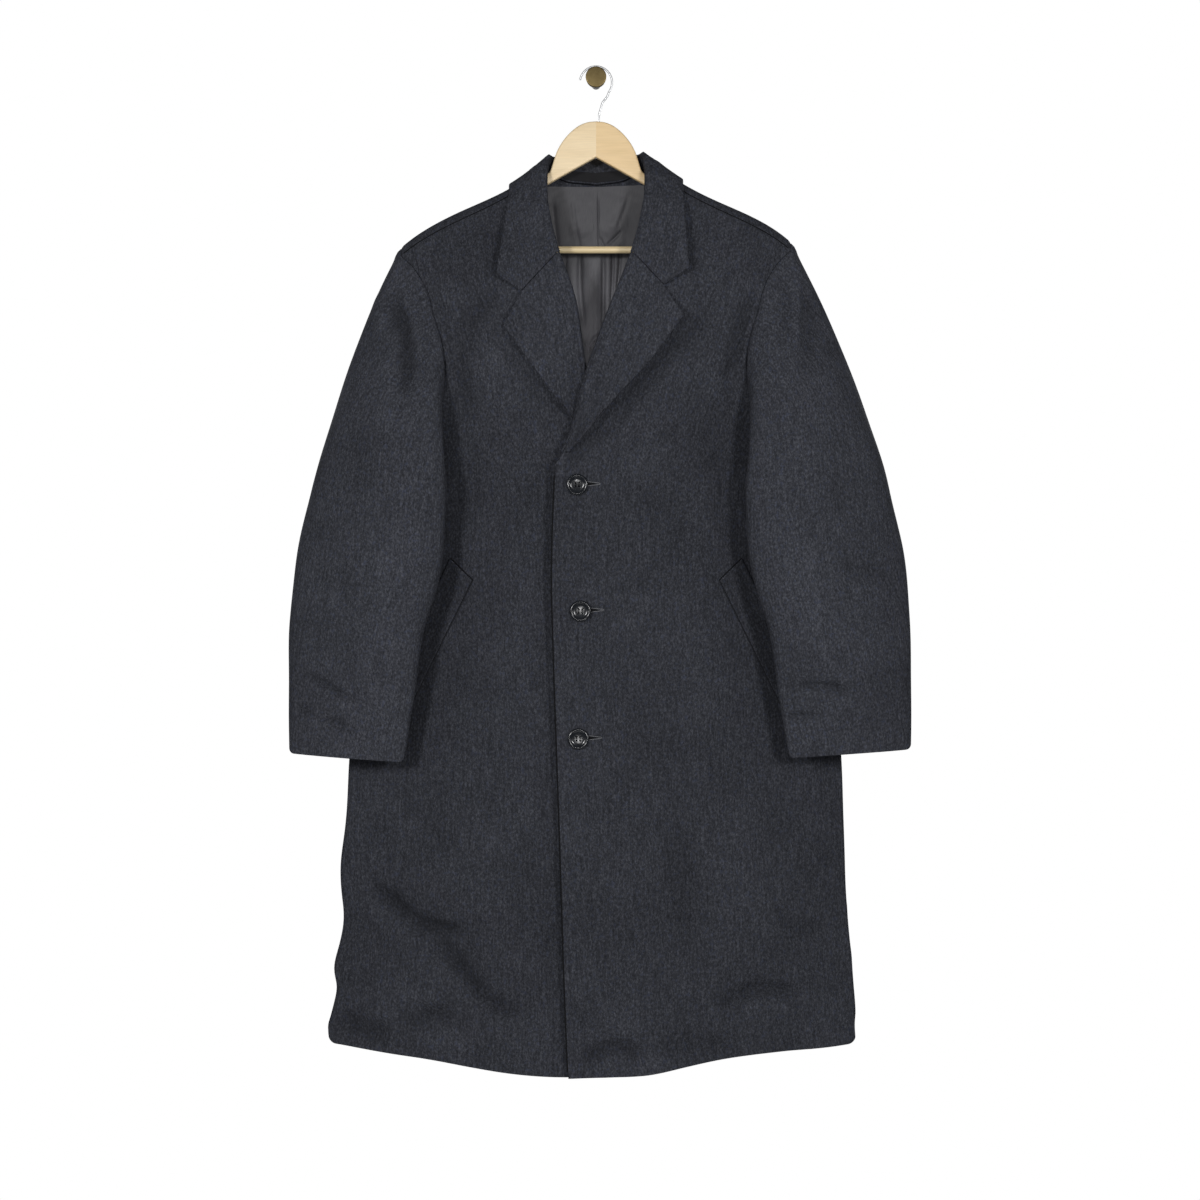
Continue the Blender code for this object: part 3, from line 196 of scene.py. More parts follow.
# Creases of the cloth itself: the places on each one's route, its width and its depth, which sinks in
# where it is plus and stands out where it is minus
FRONT_CREASES = (
    (((-284, -1006), (-252, -1031), (-220, -1055), (-190, -1061), (-150, -1062)), 9, 8.4),
    (((-292, -1030), (-258, -1062), (-228, -1084)), 11, -3.4),
    (((-210, -1064), (-184, -1090), (-159, -1116), (-129, -1149), (-108, -1158), (-76, -1156)), 9, 8.0),
    (((-208, -1100), (-182, -1126), (-158, -1150)), 10, -3.2),
    (((-324, -1162), (-309, -1181), (-286, -1193), (-254, -1192)), 12, 6.4),
    (((-248, -1186), (-226, -1173), (-204, -1167), (-162, -1175)), 11, 6.4),
    (((-262, -1144), (-224, -1146), (-190, -1152)), 9, -3.6),
    (((-286, -1160), (-263, -1171), (-244, -1164)), 9, -3.6),
    (((-230, -1202), (-190, -1202), (-150, -1200)), 11, -3.6),
    (((-296, -960), (-268, -984), (-250, -1012)), 14, -3.3),
    (((-20, -1226), (0, -1209), (24, -1201), (46, -1208), (62, -1228)), 9, 7.8),
    (((0, -1236), (26, -1224), (46, -1236)), 8, -3.0),
    (((-32, -1148), (-14, -1168), (12, -1180)), 12, 4.2),
    (((62, -1194), (104, -1201), (150, -1202), (190, -1192)), 15, 5.0),
    (((150, -1166), (164, -1148), (190, -1138), (226, -1138), (262, -1147)), 9, 6.4),
    (((176, -1166), (204, -1156), (254, -1164)), 11, -4.5),
    (((222, -1046), (254, -1062), (290, -1060)), 12, 3.6),
    (((10, -641), (50, -637), (94, -640)), 6, 2.6),
    (((16, -655), (56, -652), (90, -655)), 8, -1.4),
    (((24, -828), (72, -838), (118, -832)), 12, 2.2),
    (((-70, -520), (-108, -560), (-128, -606)), 15, 2.4),
    (((50, -505), (96, -552), (120, -604)), 16, 2.4),
    (((-206, -262), (-192, -304), (-184, -352)), 9, 3.4),
    (((-112, -262), (-142, -293), (-160, -318), (-168, -345), (-166, -400), (-164, -452)), 14, 5.4),
    (((-186, -262), (-172, -290), (-182, -318)), 12, -2.4),
    (((-118, -330), (-126, -372), (-124, -420)), 16, -2.6),
    (((210, -256), (186, -308), (172, -352), (164, -398)), 12, 6.2),
    (((170, -296), (150, -352), (146, -414)), 16, -3.2),
    (((14, -441), (31, -420), (77, -369), (121, -317)), 10, 6.6),
    (((-44, -496), (-14, -470), (14, -441), (26, -426)), 9, 3.2),
    (((98, -346), (118, -322), (132, -294)), 14, 4.4),
    (((118, -172), (121, -210), (127, -252)), 8, 3.6),
    (((-117, -178), (-124, -216), (-132, -258)), 8, 3.6),
    (((-124, -318), (-109, -346), (-84, -380), (-50, -424)), 8, 3.8),
    (((-150, -440), (-158, -500), (-170, -570)), 14, 3.2),
    (((150, -452), (158, -520), (172, -590)), 14, 3.0),
    (((-96, -940), (-88, -1010), (-100, -1080)), 20, 3.6),
    (((92, -900), (112, -1000), (104, -1096)), 22, 4.0),
    (((176, -880), (196, -980), (190, -1070)), 22, -3.0),
    (((-190, -860), (-204, -920), (-196, -980)), 18, 2.7),
)
UNDER_CREASES = (
    (((-37, -1290), (-41, -1140), (-48, -920), (-55, -727), (-57, -629), (-53, -440)), 7, 1.6),
    (((-46, -1200), (-56, -1060), (-63, -900), (-66, -780), (-66, -660), (-60, -540)), 13, 2.6),
)
BACK_CREASES = (
    (((-218, -466), (-170, -490), (-110, -502)), 12, 5.0),
    (((214, -462), (176, -494), (128, -512)), 13, 5.3),
    (((-190, -332), (-150, -372), (-128, -420)), 15, 4.2),
    (((186, -318), (158, -366), (142, -424)), 15, 4.5),
    (((-262, -1020), (-204, -1052), (-160, -1060)), 11, 5.6),
    (((-250, -1046), (-196, -1076), (-150, -1082)), 12, -3.4),
    (((150, -1112), (196, -1136), (252, -1142)), 11, 5.3),
    (((-90, -1160), (-60, -1182), (-16, -1186)), 10, 4.2),
    (((60, -1190), (96, -1178), (134, -1192)), 11, 4.2),
    (((-26, -640), (-40, -760), (-32, -900)), 20, 3.1),
    (((130, -700), (142, -820), (136, -960)), 22, 3.4),
    (((-40, -176), (0, -186), (44, -174)), 10, 2.8),
)
SLEEVE_FRONT_CREASES = (
    (((-257, -268), (-243, -302), (-234, -326), (-232, -362), (-237, -412)), 9, 7.6),
    (((-244, -252), (-235, -284), (-224, -312), (-218, -352)), 8, -3.4),
    (((-270, -266), (-268, -300), (-260, -340)), 9, -4.2),
    (((-256, -352), (-254, -400), (-262, -450)), 12, -2.4),
    (((-242, -268), (-226, -330), (-222, -402)), 22, 3.0),
    (((-364, -742), (-330, -760), (-298, -778)), 5, 5.4),
    (((-358, -758), (-322, -778), (-294, -794)), 7, -1.8),
    (((-338, -799), (-308, -811)), 6, 4.8),
    (((-374, -786), (-350, -796)), 8, 3.3),
    (((-352, -622), (-318, -632), (-296, -628)), 10, 2.5),
    (((-366, -560), (-330, -572)), 12, 2.2),
    (((-240, -560), (-256, -640), (-262, -720)), 20, -3.0),
    (((-300, -420), (-292, -480), (-300, -540)), 18, 2.5),
    (((250, -244), (250, -284), (246, -322), (245, -356)), 4.5, -4.2),
    (((266, -264), (268, -320), (262, -384)), 12, 4.0),
    (((240, -258), (236, -300), (226, -344)), 9, 3.8),
    (((280, -346), (304, -338), (324, -328)), 9, 3.0),
    (((238, -759), (282, -758), (322, -768)), 4.5, 5.0),
    (((246, -773), (290, -774), (330, -784)), 7, -1.6),
    (((230, -797), (252, -796), (274, -793)), 4.5, 5.0),
    (((330, -800), (360, -808)), 8, 3.0),
    (((300, -612), (340, -622), (372, -616)), 11, 2.8),
    (((244, -560), (262, -650), (270, -730)), 20, -3.0),
    (((306, -430), (298, -490), (308, -550)), 18, 2.5),
)
SLEEVE_BACK_CREASES = (
    (((-376, -590), (-330, -606), (-290, -602)), 11, 5.2),
    (((-372, -640), (-326, -650), (-284, -642)), 10, 4.2),
    (((-352, -770), (-312, -784), (-270, -780)), 9, 3.9),
    (((-300, -330), (-286, -390), (-290, -450)), 14, 3.9),
    (((374, -600), (334, -616), (292, -610)), 11, 4.9),
    (((370, -660), (322, -668), (288, -660)), 10, 4.2),
    (((350, -786), (306, -796), (268, -790)), 9, 3.9),
    (((304, -320), (288, -392), (294, -452)), 14, 3.9),
)
CREASE_POINTS = 48
CREASE_REACH = 3.5
CREASE_END = 0.3
CREASE_END_DEPTH = 0.12
CREASE_SEAM_FADE = 14.0
SLEEVE_FACE = (1.6, 0.15)

# Painted shade darkens the cloth's colour down in a crease and painted light makes it paler on a ridge, by
# these shares per millimetre
HOLLOW_PAINTED_SHADE = 0.043
RIDGE_PAINTED_LIGHT = 0.03
PAINTED_CREASE_SHADING_LIMITS = (0.55, 1.25)

# Seams: a groove with the allowance swelling a little beside it, and the sleeve head's roll
SEAM_GROOVE = 1.1
SEAM_SPREAD = 3.4
SEAM_SWELL = 0.5
SEAM_SWELL_AT = 9.0
SEAM_SWELL_SPREAD = 5.0
EDGE_STAND = 1.6
EDGE_STAND_SPREAD = 16.0
# A black line of painted shade along each shoulder seam
SHOULDER_SHADE_LINE = 0.55
SHOULDER_SHADE_LINE_OUT = 0.1
THREAD_SIDES = 8
# Black threads sunk in the other seams close the slits between pieces and darken them as painted shade
SEAM_THREAD_AND_SHADE = 0.6
SEAM_THREAD_AND_SHADE_IN = 1.3
UNDERARM_FILL = 0.4
# A black line of painted shadow under the over front's free edge
EDGE_SHADE_LINE = 1.1
EDGE_SHADE_LINE_OUT = 0.5
EDGE_SHADE_LINE_IN = 1.5
HEAD_ROLL = 1.3
HEAD_ROLL_AT = 9.0
HEAD_ROLL_SPREAD = 7.0

# Slight unevenness all over: wavelengths in millimetres and heights
WAVE_SEED = 11
WAVE_COUNT = 9
WAVE_LENGTHS = (70.0, 210.0)
WAVE_HEIGHT = 0.22

# Sleeve rings from below the armhole to the cuff
SLEEVE_RINGS = (
    Ring(361, 183, -516, -526, -57, -107, 40),
    Ring(380, 190, -598, -612, -57, -106, 39),
    Ring(387, 212, -676, -692, -56, -102, 36),
    Ring(388.5, 224, -756, -768, -55, -96, 29),
    Ring(389, 237, -840, -849, -54, -90, 20),
)
SLEEVE_REACH = {LEFT: 3.5, RIGHT: -6.0}
SLEEVE_LIFT = {LEFT: 1.5, RIGHT: -3.5}
UNDERARM_PHI = 275.0

# Way in which the cloth leaves the armhole, by the angle round it: angle, then x, y, z
SLEEVE_LEAVES = (
    (0, 0.43, 0.02, -0.90), (60, 0.50, -0.35, -0.79), (110, 0.35, -0.62, -0.70),
    (160, -0.05, -0.85, -0.50), (205, -0.05, -0.92, -0.40), (250, 0.05, -0.92, -0.38),
    (275, 0.55, -0.75, -0.35), (281, 0.80, -0.50, -0.20), (290, 0.85, -0.35, -0.35),
    (305, 0.72, -0.20, -0.65), (330, 0.54, -0.03, -0.84), (360, 0.43, 0.02, -0.90),
)
FRONT_SEAM_ROW = 20
BACK_SEAM_ROW = 15
UNDERARM_EASE = 2.5
UNDERARM_EASE_ROWS = 4
UNDERARM_FRONT_SPREAD = 60.0
UNDERARM_BACK_SPREAD = 8.0
UNDERARM_FULL = 1.5

# Lapels: outer edge from the break to the peak, notch, and the collar's own corners
LAPEL_EDGES = {
    LEFT: ((-43, -481), (-10, -447), (22, -407), (68, -356), (108, -302)),
    RIGHT: ((0, -478), (-14, -452), (-31, -428), (-60, -389), (-86, -353), (-114, -315)),
}
NOTCHES = {LEFT: (83, -264), RIGHT: (-92, -272)}
COLLAR_POINTS = {LEFT: (115, -243), RIGHT: (-122, -251)}
LAPEL_ROWS = 75
LAPEL_COLUMNS = 28
LAPEL_START = 0.06
NOTCH_SHARE = 4 / 7
PAST_NOTCH = 0.01
LAPEL_BOW = {LEFT: 3.0, RIGHT: 1.5}
LAPEL_BEND_FROM = 0.7
LAPEL_BOW_SPREAD = 1.2
LAPEL_BOW_FROM = 0.1
LAPEL_BOW_SOON = 2
LAPEL_LIFT = {LEFT: 12.0, RIGHT: 8.0}
LAPEL_LIFT_SOON = {LEFT: 4.5, RIGHT: 2.5}
COLLAR_LIFT = {LEFT: 7.5, RIGHT: 6.0}
COLLAR_LIFT_FROM = 3.8
COLLAR_LIFT_OVER = 1.6
LIFT_FROM_WIDTH = 0.35
ROLL_COLUMNS = (0.0, 0.04, 0.08)
CHEST_ROWS_IN_SOLID = 14
GORGE_ROW_IN_SOLID = 10

# The lapel wraps the front's roll edge on an arc: centre over and out of the front, radius, degrees
WRAP_COLUMNS = 7
WRAP_OVER = 1.2
WRAP_OUT = -0.3
WRAP_RADIUS = 2.15
WRAP_FROM = 218.0
WRAP_TO = 90.0

# Collar sections from the centre back to the gorge: share of the neck seam, then roll and outer edge
COLLAR_SECTIONS = (
    (0.00, 0, -18, -96, 0, -10, -150), (0.16, 30, -23, -96, 42, -10, -149),
    (0.31, 50, -36, -97, 82, -22, -140), (0.39, 57, -48, -98, 104, -44, -136),
    (0.48, 61, -63, -126, 108, -62, -149), (0.64, 60, -75, -158, 109, -72, -165),
    (0.82, 54, -85, -194, 112, -79, -207), (1.00, 46, -93, -229, 115, -84, -243),
)
COLLAR_STEPS = 14
COLLAR_GAP = 1.2
RIDGE_GAP = 1.2
RIDGE_SECTION = 3.2
RIDGE_SPREAD = 1.3
ROLL_SOFT_PASSES = 4
COLLAR_BACK_OUT = np.array([0.0, 1.0, 0.3])
COLLAR_FRONT_OUT = np.array([0.0, -0.4, 1.0])
GORGE_BLEND = 0.60
COLLAR_FALL_FROM = 4
COLLAR_BACK_PART = 3

# Pocket welts, as the corners of a slanted strip
WELT_TOP = np.array([153.0, -628.0])
WELT_LOW = np.array([232.0, -786.0])
WELT_ACROSS = np.array([28.0, 27.0])
WELT_ROWS = 60
WELT_COLUMNS = 14
WELT_THREAD = 0.5

# Buttons: a turned profile with a rim, a dish and four holes
BUTTON_PLACES = {"top": Flat(-23, -511), "middle": Flat(-19, -666), "lower": Flat(-21.5, -823)}
BUTTON_RADIUS = 13.0
BUTTON_SIDES = 64
SEAT_SAMPLES = 12
BUTTON_PROFILE = (
    (0.0, 0.0), (10.6, 0.0), (12.0, 0.35), (12.8, 1.2), (13.0, 2.0), (12.7, 2.9), (12.0, 3.45),
    (11.1, 3.6), (10.2, 3.35), (9.4, 2.75), (8.6, 2.25), (7.4, 1.92), (5.6, 1.74), (3.8, 1.66),
    (2.0, 1.62), (0.0, 1.61),
)
HOLE_OFF = 2.1
HOLE_RADIUS = 1.0
HOLE_SIDES = 20
PIN_LENGTH = 20.0
THREAD_RADIUS = 0.55
THREAD_RISE = 0.7
THREAD_POINTS = 17
THREAD_DIVE = 3.4
THREAD_TURN = 6
CORD_SIDES = 12
HOLE_FROM = 8.5
HOLE_TO = 27.5
HOLE_UP = 1.2
LIP_APART = (3.0, 0.8)
LIP_RADIUS = 0.45
LIP_RISE = 0.25
LIP_POINTS = 24
LIP_BEND = 75.0
LIP_BEND_POINTS = 9
LIP_SIDES = 10
# The slit's black wedge of painted shade: its radii at the two ends, and its share of the hole's length
SLIT_SHADE_RADII = (2.6, 0.3)
SLIT_SHADE_SHARE = 0.8

# Lining and label: the satin hangs in loose folds inside the backs, a pleat down its middle
LINING_LOW_Z = -1150.0
LINING_FINE_Z = -360.0
LINING_TOP_Z = -132.6
LINING_LOW_ROWS = 60
LINING_FINE_ROWS = 112
LINING_FINE_COLUMNS = 145
LINING_SIDE_COLUMNS = 22
LINING_TOP_SOFT = 8.0
LINING_TOP_BEND = 4
LINING_TOP = (
    (-190, -215), (-150, -182), (-110, -158), (-80, -139), (-60, -132.6), (0, -132.6), (60, -130.5),
    (80, -137), (110, -155), (150, -180), (190, -213),
)
LINING_WIDTHS = ((262, -1150), (226, -480), (178, -270), (150, -132))
LINING_FINE_X = 66.0
LINING_FROM_Y = -58.0
LINING_EASE = 4.0
LINING_TOP_EASE = 0.8
LINING_TOP_FADE = 26.0
LINING_CREASES = (
    (((2.5, -124), (2.6, -170), (3.4, -216)), 1.2, 2.6),
    (((-4, -124), (-5, -176), (-6, -214)), 6, -0.7),
    (((-31, -134), (-29, -160), (-24, -188), (-19, -216)), 2.6, 1.6),
    (((-45, -130), (-43, -170), (-38, -212)), 7, -0.8),
    (((44, -134), (36, -160), (24, -190)), 2.6, 1.2),
    (((36, -140), (28, -166), (18, -190)), 4, -0.9),
    (((33, -186), (23, -196), (12, -207)), 1.5, 2.8),
    (((38, -196), (29, -203), (20, -212)), 4, -0.8),
    (((5, -194), (9, -204), (14, -212)), 1.5, 2.2),
    (((-56, -142), (-52, -180), (-47, -218)), 3, 1.6),
    (((-8, -210), (-8, -260), (-5, -318)), 8, -1.2),
    (((9, -210), (9.2, -262), (8.6, -322)), 2.2, 5.2),
    (((16, -212), (15.5, -240), (13, -286)), 3.4, -0.9),
    (((21.3, -210), (21, -242), (18.5, -288)), 1.8, 4.4),
    (((26, -212), (25, -236), (23, -270)), 3, -0.9),
    (((31, -210), (29, -240), (26, -266)), 1.9, 3.4),
    (((-20, -210), (-20, -256), (-15, -312)), 2.8, 5.0),
    (((-30, -216), (-30, -246), (-26, -288)), 4, -1.0),
    (((-39, -212), (-38, -246), (-34, -276)), 2.4, 3.8),
    (((9, -312), (0, -321), (-10, -334)), 1.8, 4.6),
    (((11, -320), (3, -330), (-6, -342)), 3, -1.2),
    (((-14, -326), (-9, -336), (-8, -348)), 1.6, 2.6),
    (((-14, -312), (-11, -350), (-12, -390)), 3, 2.0),
    (((-80, -260), (-84, -420), (-90, -700)), 9, 2.2),
    (((-120, -300), (-126, -520), (-118, -800)), 12, -2.2),
    (((74, -250), (80, -420), (84, -720)), 9, 2.2),
    (((112, -290), (120, -500), (116, -820)), 12, -2.2),
    (((-40, -420), (-44, -640), (-38, -900)), 10, 2.0),
    (((30, -400), (36, -620), (30, -960)), 10, -2.0),
)
LABEL_ROWS = 19
LABEL_COLUMNS = 13
LABEL_SPAN = (0.05, 0.425)

# Hanger, hook and peg
HANGER_Y = -46.0
ARM_THICK = 12.0
ARM_HUMP = (
    (0, -55), (10, -56), (19, -59.2), (32, -68.8), (43, -82), (49, -93), (53.2, -105.4), (58, -118),
    (70, -126),
)
ARM_APEX_Z = -100.0
ARM_SLOPE = 0.558
ARM_FOOT_X = 190.0
ARM_END_X = 205.0
ARM_FOOT_Z = -226.0
ARM_SEAT_X = 86.0
ARM_BELOW_Z = -260.0
ARM_JOINT = 0.02
ARM_ROUND = 2.5
ARM_CRISP = 60.0
ARM_SAMPLES = 13
ARM_STATIONS = 24
ARM_HUMP_POINTS = 30
CLOSE_STEP = 0.01
BAR_POINTS = 80
BAR_SIDES = 32
BAR_RADIUS = 4.5
BAR_Z = -215.0
WIRE_RADIUS = 1.25
HOOK_RADIUS = 20.05
HOOK_CENTRE_Z = -5.8
HOOK_TIP_ANGLE = 168.0
HOOK_LEAVE_ANGLE = -35.0
HOOK_POINTS = 60
HOOK_STEM_POINTS = 30
HOOK_SIDES = 24
HOOK_TIP = ((1.4, 0.0), (1.3, 0.48), (1.0, 0.92), (0.5, 1.18))
HOOK_STEM = ((13.6, -24), (8.5, -30.5), (6, -38), (4, -46), (3.5, -54.9))
STEM_PROFILE = (
    (0.0, 0.0), (5.6, 0.0), (6.0, 0.4), (6.0, 41.6), (6.6, 42.2), (12.0, 43.6), (12.5, 44.3),
    (12.5, 49.6), (12.1, 50.0), (0.0, 50.0),
)
CAP_PROFILE = (
    (0.0, 0.0), (12.6, 0.0), (13.0, 0.4), (13.0, 2.7), (12.8, 3.2), (12.3, 3.5), (11.6, 3.6), (0.0, 3.6),
)
CAP_Y = -50.3
PEG_SIDES = 96
PEG_CRISP = 35.0

# A record of what a cloth piece was cut to, in metres and square metres, and what it hangs from
Cut = namedtuple("Cut", "width length area rests_on")

# Surface settings by short words
SOCKETS = {
    "rough": "Roughness",
    "metal": "Metallic",
    "specular": "Specular IOR Level",
    "sheen": "Sheen Weight",
    "sheen_rough": "Sheen Roughness",
    "coat": "Coat Weight",
    "coat_rough": "Coat Roughness",
}

# The photograph's view, in metres
VIEW_PLACE = (0.005, -3.345, -0.6525)
VIEW_SENSOR = 36.0
VIEW_LENS = 79.2

# Studio light: soft discs, or a narrow cone where an angle is given
Lamp = namedtuple("Lamp", "name place aim size power angle", defaults=(None,))
COAT_MIDDLE = (0.0, 0.0, -0.6)
LAMPS = (
    Lamp("key_left", (-1.5, -3.0, -0.05), COAT_MIDDLE, 0.6, 57.0),
    Lamp("key_right", (1.45, -3.0, -0.15), COAT_MIDDLE, 0.6, 50.0),
    Lamp("near_view", (-0.05, -3.5, -0.86), (0.0, 0.0, -0.62), 0.36, 11.0),
    Lamp("neck", (0.0, -3.4, -0.05), (0.005, 0.0, -0.29), 0.1, 110.0, 4.8),
    Lamp("side_left", (-2.8, -1.3, -0.4), COAT_MIDDLE, 1.0, 9.0),
    Lamp("side_right", (2.8, -1.3, -0.4), COAT_MIDDLE, 1.0, 9.0),
    Lamp("back_left", (-1.7, 2.6, 0.3), COAT_MIDDLE, 1.2, 36.0),
    Lamp("back_right", (1.7, 2.6, 0.3), COAT_MIDDLE, 1.2, 36.0),
)
ROOM_LIGHT = 0.15
FLOOR_RADIUS = 0.8
FLOOR_PLACE = (0.0, -0.1, -1.65)


def smooth_step(value):
    """Ease from 0 to 1."""
    held = np.clip(value, 0.0, 1.0)
    return held * held * (3.0 - 2.0 * held)


def even(count):
    """Shares 0 to 1 in equal steps."""
    return np.linspace(0.0, 1.0, count + 1)


def mirror(side):
    """Factors that carry a place on the wearer's left to a side."""
    return np.array([side, 1.0, 1.0])


def unit(vectors):
    """Vectors of length one along the last axis."""
    vectors = np.asarray(vectors, dtype=float)
    lengths = np.linalg.norm(vectors, axis=-1, keepdims=True)
    return vectors / np.maximum(lengths, TINY)


def soft_read(places, known, values, reach):
    """Read a table between its entries, with its corners eased over a reach."""
    shifts = np.linspace(-reach, reach, SOFT_SAMPLES)
    return np.mean([np.interp(np.asarray(places) + shift, known, values) for shift in shifts], axis=0)


def length_shares(points):
    """Share of a polyline's length at each of its points."""
    lengths = np.linalg.norm(np.diff(points, axis=0), axis=1)
    return np.concatenate(([0.0], np.cumsum(lengths))) / lengths.sum()


def curve_through(points, shares, knots=None):
    """Read a smooth curve through the points at shares 0 to 1 of its length, or at given knots."""
    points = np.asarray(points, dtype=float)
    shares = np.atleast_1d(np.asarray(shares, dtype=float))
    knots = length_shares(points) if knots is None else np.asarray(knots, dtype=float)
    slopes = np.gradient(points, knots, axis=0)
    spans = np.clip(np.searchsorted(knots, shares, side="right") - 1, 0, len(points) - 2)
    width = (knots[spans + 1] - knots[spans])[:, None]
    s = (shares - knots[spans])[:, None] / width
    start = (1 + 2 * s) * (1 - s) ** 2 * points[spans]
    end = s * s * (3 - 2 * s) * points[spans + 1]
    leave = s * (1 - s) ** 2 * width * slopes[spans]
    arrive = s * s * (s - 1) * width * slopes[spans + 1]
    return start + end + leave + arrive


def shoulder_lift(side, points):
    """Raise the left shoulder and armhole, fading out below them."""
    if side == LEFT:
        fade = smooth_step((points[:, 2] - LIFT_FROM_Z) / LIFT_RISE)
        across = smooth_step(points[:, 0] / LIFT_ACROSS)
        points[:, 2] += SHOULDER_LIFT * fade * across
    return points


def side_curve(table, side, shares):
    """A boundary curve on one side of the coat."""
    points = curve_through(table, shares)
    points[:, 0] *= side
    return shoulder_lift(side, points)


def shoulder_neck(side):
    """Neck end of the shoulder seam on one side."""
    return shoulder_lift(side, np.array([SHOULDER_NECK]) * mirror(side))


def ripple_sides(side, points):
    """The side seams wave in and out above the hem."""
    for ripple in RIGHT_RIPPLES if side == RIGHT else LEFT_RIPPLES:
        swell = np.exp(-(((points[:, 2] - ripple.z) / ripple.width) ** 2))
        points[:, 0] += side * ripple.height * swell
    return points


def read_turns(turns, shares):
    """Row handles at each row's share of the panel."""
    known, *columns = np.transpose(turns)
    return [soft_read(shares, known, column, TURN_SOFT)[:, None] for column in columns]


def panel_rows(inner, outer, turns, shares, columns, facing):
    """Rows from the middle edge to the seam, each one cubic curve that turns in to the side."""
    flat, bend, reach, early, late = read_turns(turns, shares)
    span = outer - inner
    away = np.sign(span[:, :1])
    first = inner + span * np.concatenate((flat, np.zeros_like(flat), early), axis=1)
    heading = np.concatenate((-away * (1 - bend), facing * bend, np.zeros_like(bend)), axis=1)
    second = outer + unit(heading) * reach
    second[:, 2:] = inner[:, 2:] + span[:, 2:] * late
    s = np.asarray(columns)[None, :, None]
    grid = (1 - s) ** 3 * inner[:, None, :] + 3 * s * (1 - s) ** 2 * first[:, None, :]
    return grid + 3 * s * s * (1 - s) * second[:, None, :] + s ** 3 * outer[:, None, :]


def fold_depth(folds, grid):
    """Depth of the broad folds at each point of a grid."""
    depth = np.zeros(grid.shape[:2])
    for fold in folds:
        run = np.array([fold.x1 - fold.x0, fold.z1 - fold.z0])
        length = np.linalg.norm(run)
        along = run / length
        from_start = grid[..., [0, 2]] - np.array([fold.x0, fold.z0])
        walk = from_start @ along / length
        off = from_start @ np.array([-along[1], along[0]]) / fold.width
        swell = smooth_step(walk / FOLD_END + FOLD_END) * smooth_step((1.0 - walk) / FOLD_END + FOLD_END)
        depth += fold.depth * np.exp(-off * off) * swell
    return depth


def fade_to_seams(columns):
    """Broad folds die away at both long edges of a panel."""
    columns = np.asarray(columns)
    return smooth_step(columns / FOLD_FADE_EDGE) * smooth_step((1 - columns) / FOLD_FADE_SEAM)


def front_edges(side, shares):
    """Free edge and seam of one front at each row."""
    edge, neck = (OVER_EDGE, OVER_NECK) if side == LEFT else (UNDER_EDGE, UNDER_NECK)
    skirt = np.clip(shares, 0.0, 1.0)
    chest = np.clip(shares - 1.0, 0.0, 1.0)
    below = (shares <= 1.0)[:, None]
    throat = np.concatenate((np.array(neck), shoulder_neck(side)))
    inner = np.where(below, curve_through(edge, skirt), curve_through(throat, chest))
    outer = np.where(below, side_curve(SIDE_SEAM, side, skirt), side_curve(FRONT_ARMHOLE, side, chest))
    return inner, ripple_sides(side, outer)


def hem_drop(side, columns):
    """Height of the hem line above the plain bottom row of a front."""
    bottom = np.zeros(1)
    row = panel_rows(*front_edges(side, bottom), FRONT_TURNS, bottom, columns, -1.0)[0]
    return soft_read(row[:, 0], *np.transpose(HEM), HEM_SOFT) - row[:, 2]


def rounded_corner(radius, to_side):
    """Height by which a rounded corner lifts the hem, by the distance to the side."""
    return radius - np.sqrt(radius ** 2 - np.clip(radius - to_side, 0.0, radius) ** 2)


def round_hem(grid, shares):
    """Round the hem's corner at the side seam."""
    lift = rounded_corner(HEM_CORNER, abs(grid[0, -1, 0] - grid[0, :, 0]))
    grid[..., 2] += lift * smooth_step(1.0 - shares / HEM_CORNER_FADE)[:, None]


def front_grid(side, shares, columns):
    """One front: shares 0 to 1 run hem to break, 1 to 2 run break to shoulder."""
    shares = np.asarray(shares, dtype=float)
    grid = panel_rows(*front_edges(side, shares), FRONT_TURNS, shares, columns, -1.0)
    grid[..., 2] += hem_drop(side, columns) * smooth_step(1.0 - shares / HEM_FADE)[:, None]
    grid[..., 1] += fold_depth(SKIRT_FOLDS, grid) * fade_to_seams(columns)
    round_hem(grid, shares)
    return grid


def back_grid(side, shares, columns):
    """One back: shares 0 to 1 hem to underarm, 1 to 2 to the nape, 2 to 3 along the neck."""
    shares = np.asarray(shares, dtype=float)
    skirt = np.clip(shares, 0.0, 1.0)
    blade = np.clip(shares - 1.0, 0.0, 1.0)
    yoke = np.clip(shares - 2.0, 0.0, 1.0)
    in_skirt = (shares <= 1.0)[:, None]
    in_blade = (shares <= 2.0)[:, None]
    neck = side_curve(BACK_NECK, side, yoke)
    inner = np.where(in_blade, curve_through(CENTRE_BACK, blade), neck)
    inner = np.where(in_skirt, curve_through(CENTRE_BACK_SKIRT, skirt), inner)
    shoulder = side_curve(BACK_SHOULDER, side, yoke)
    outer = np.where(in_blade, side_curve(BACK_ARMHOLE, side, blade), shoulder)
    outer = np.where(in_skirt, side_curve(SIDE_SEAM, side, skirt), outer)
    outer = ripple_sides(side, outer)
    grid = panel_rows(inner, outer, BACK_TURNS, shares, columns, 1.0)
    grid[..., 1] -= fold_depth(BACK_FOLDS, grid) * fade_to_seams(columns)
    round_hem(grid, shares)
    return grid


def grid_normals(grid, outward):
    """Unit normals of a grid, turned to the side that the outward vectors show."""
    normals = unit(np.cross(np.gradient(grid, axis=0), np.gradient(grid, axis=1)))
    if np.sum(normals * outward) < 0:
        normals = -normals
    return normals


def leave_direction(phi):
    """Direction in which the sleeve cloth leaves the armhole seam."""
    known, *axes = np.transpose(SLEEVE_LEAVES)
    return unit(np.stack([np.interp(phi, known, axis) for axis in axes], axis=-1))


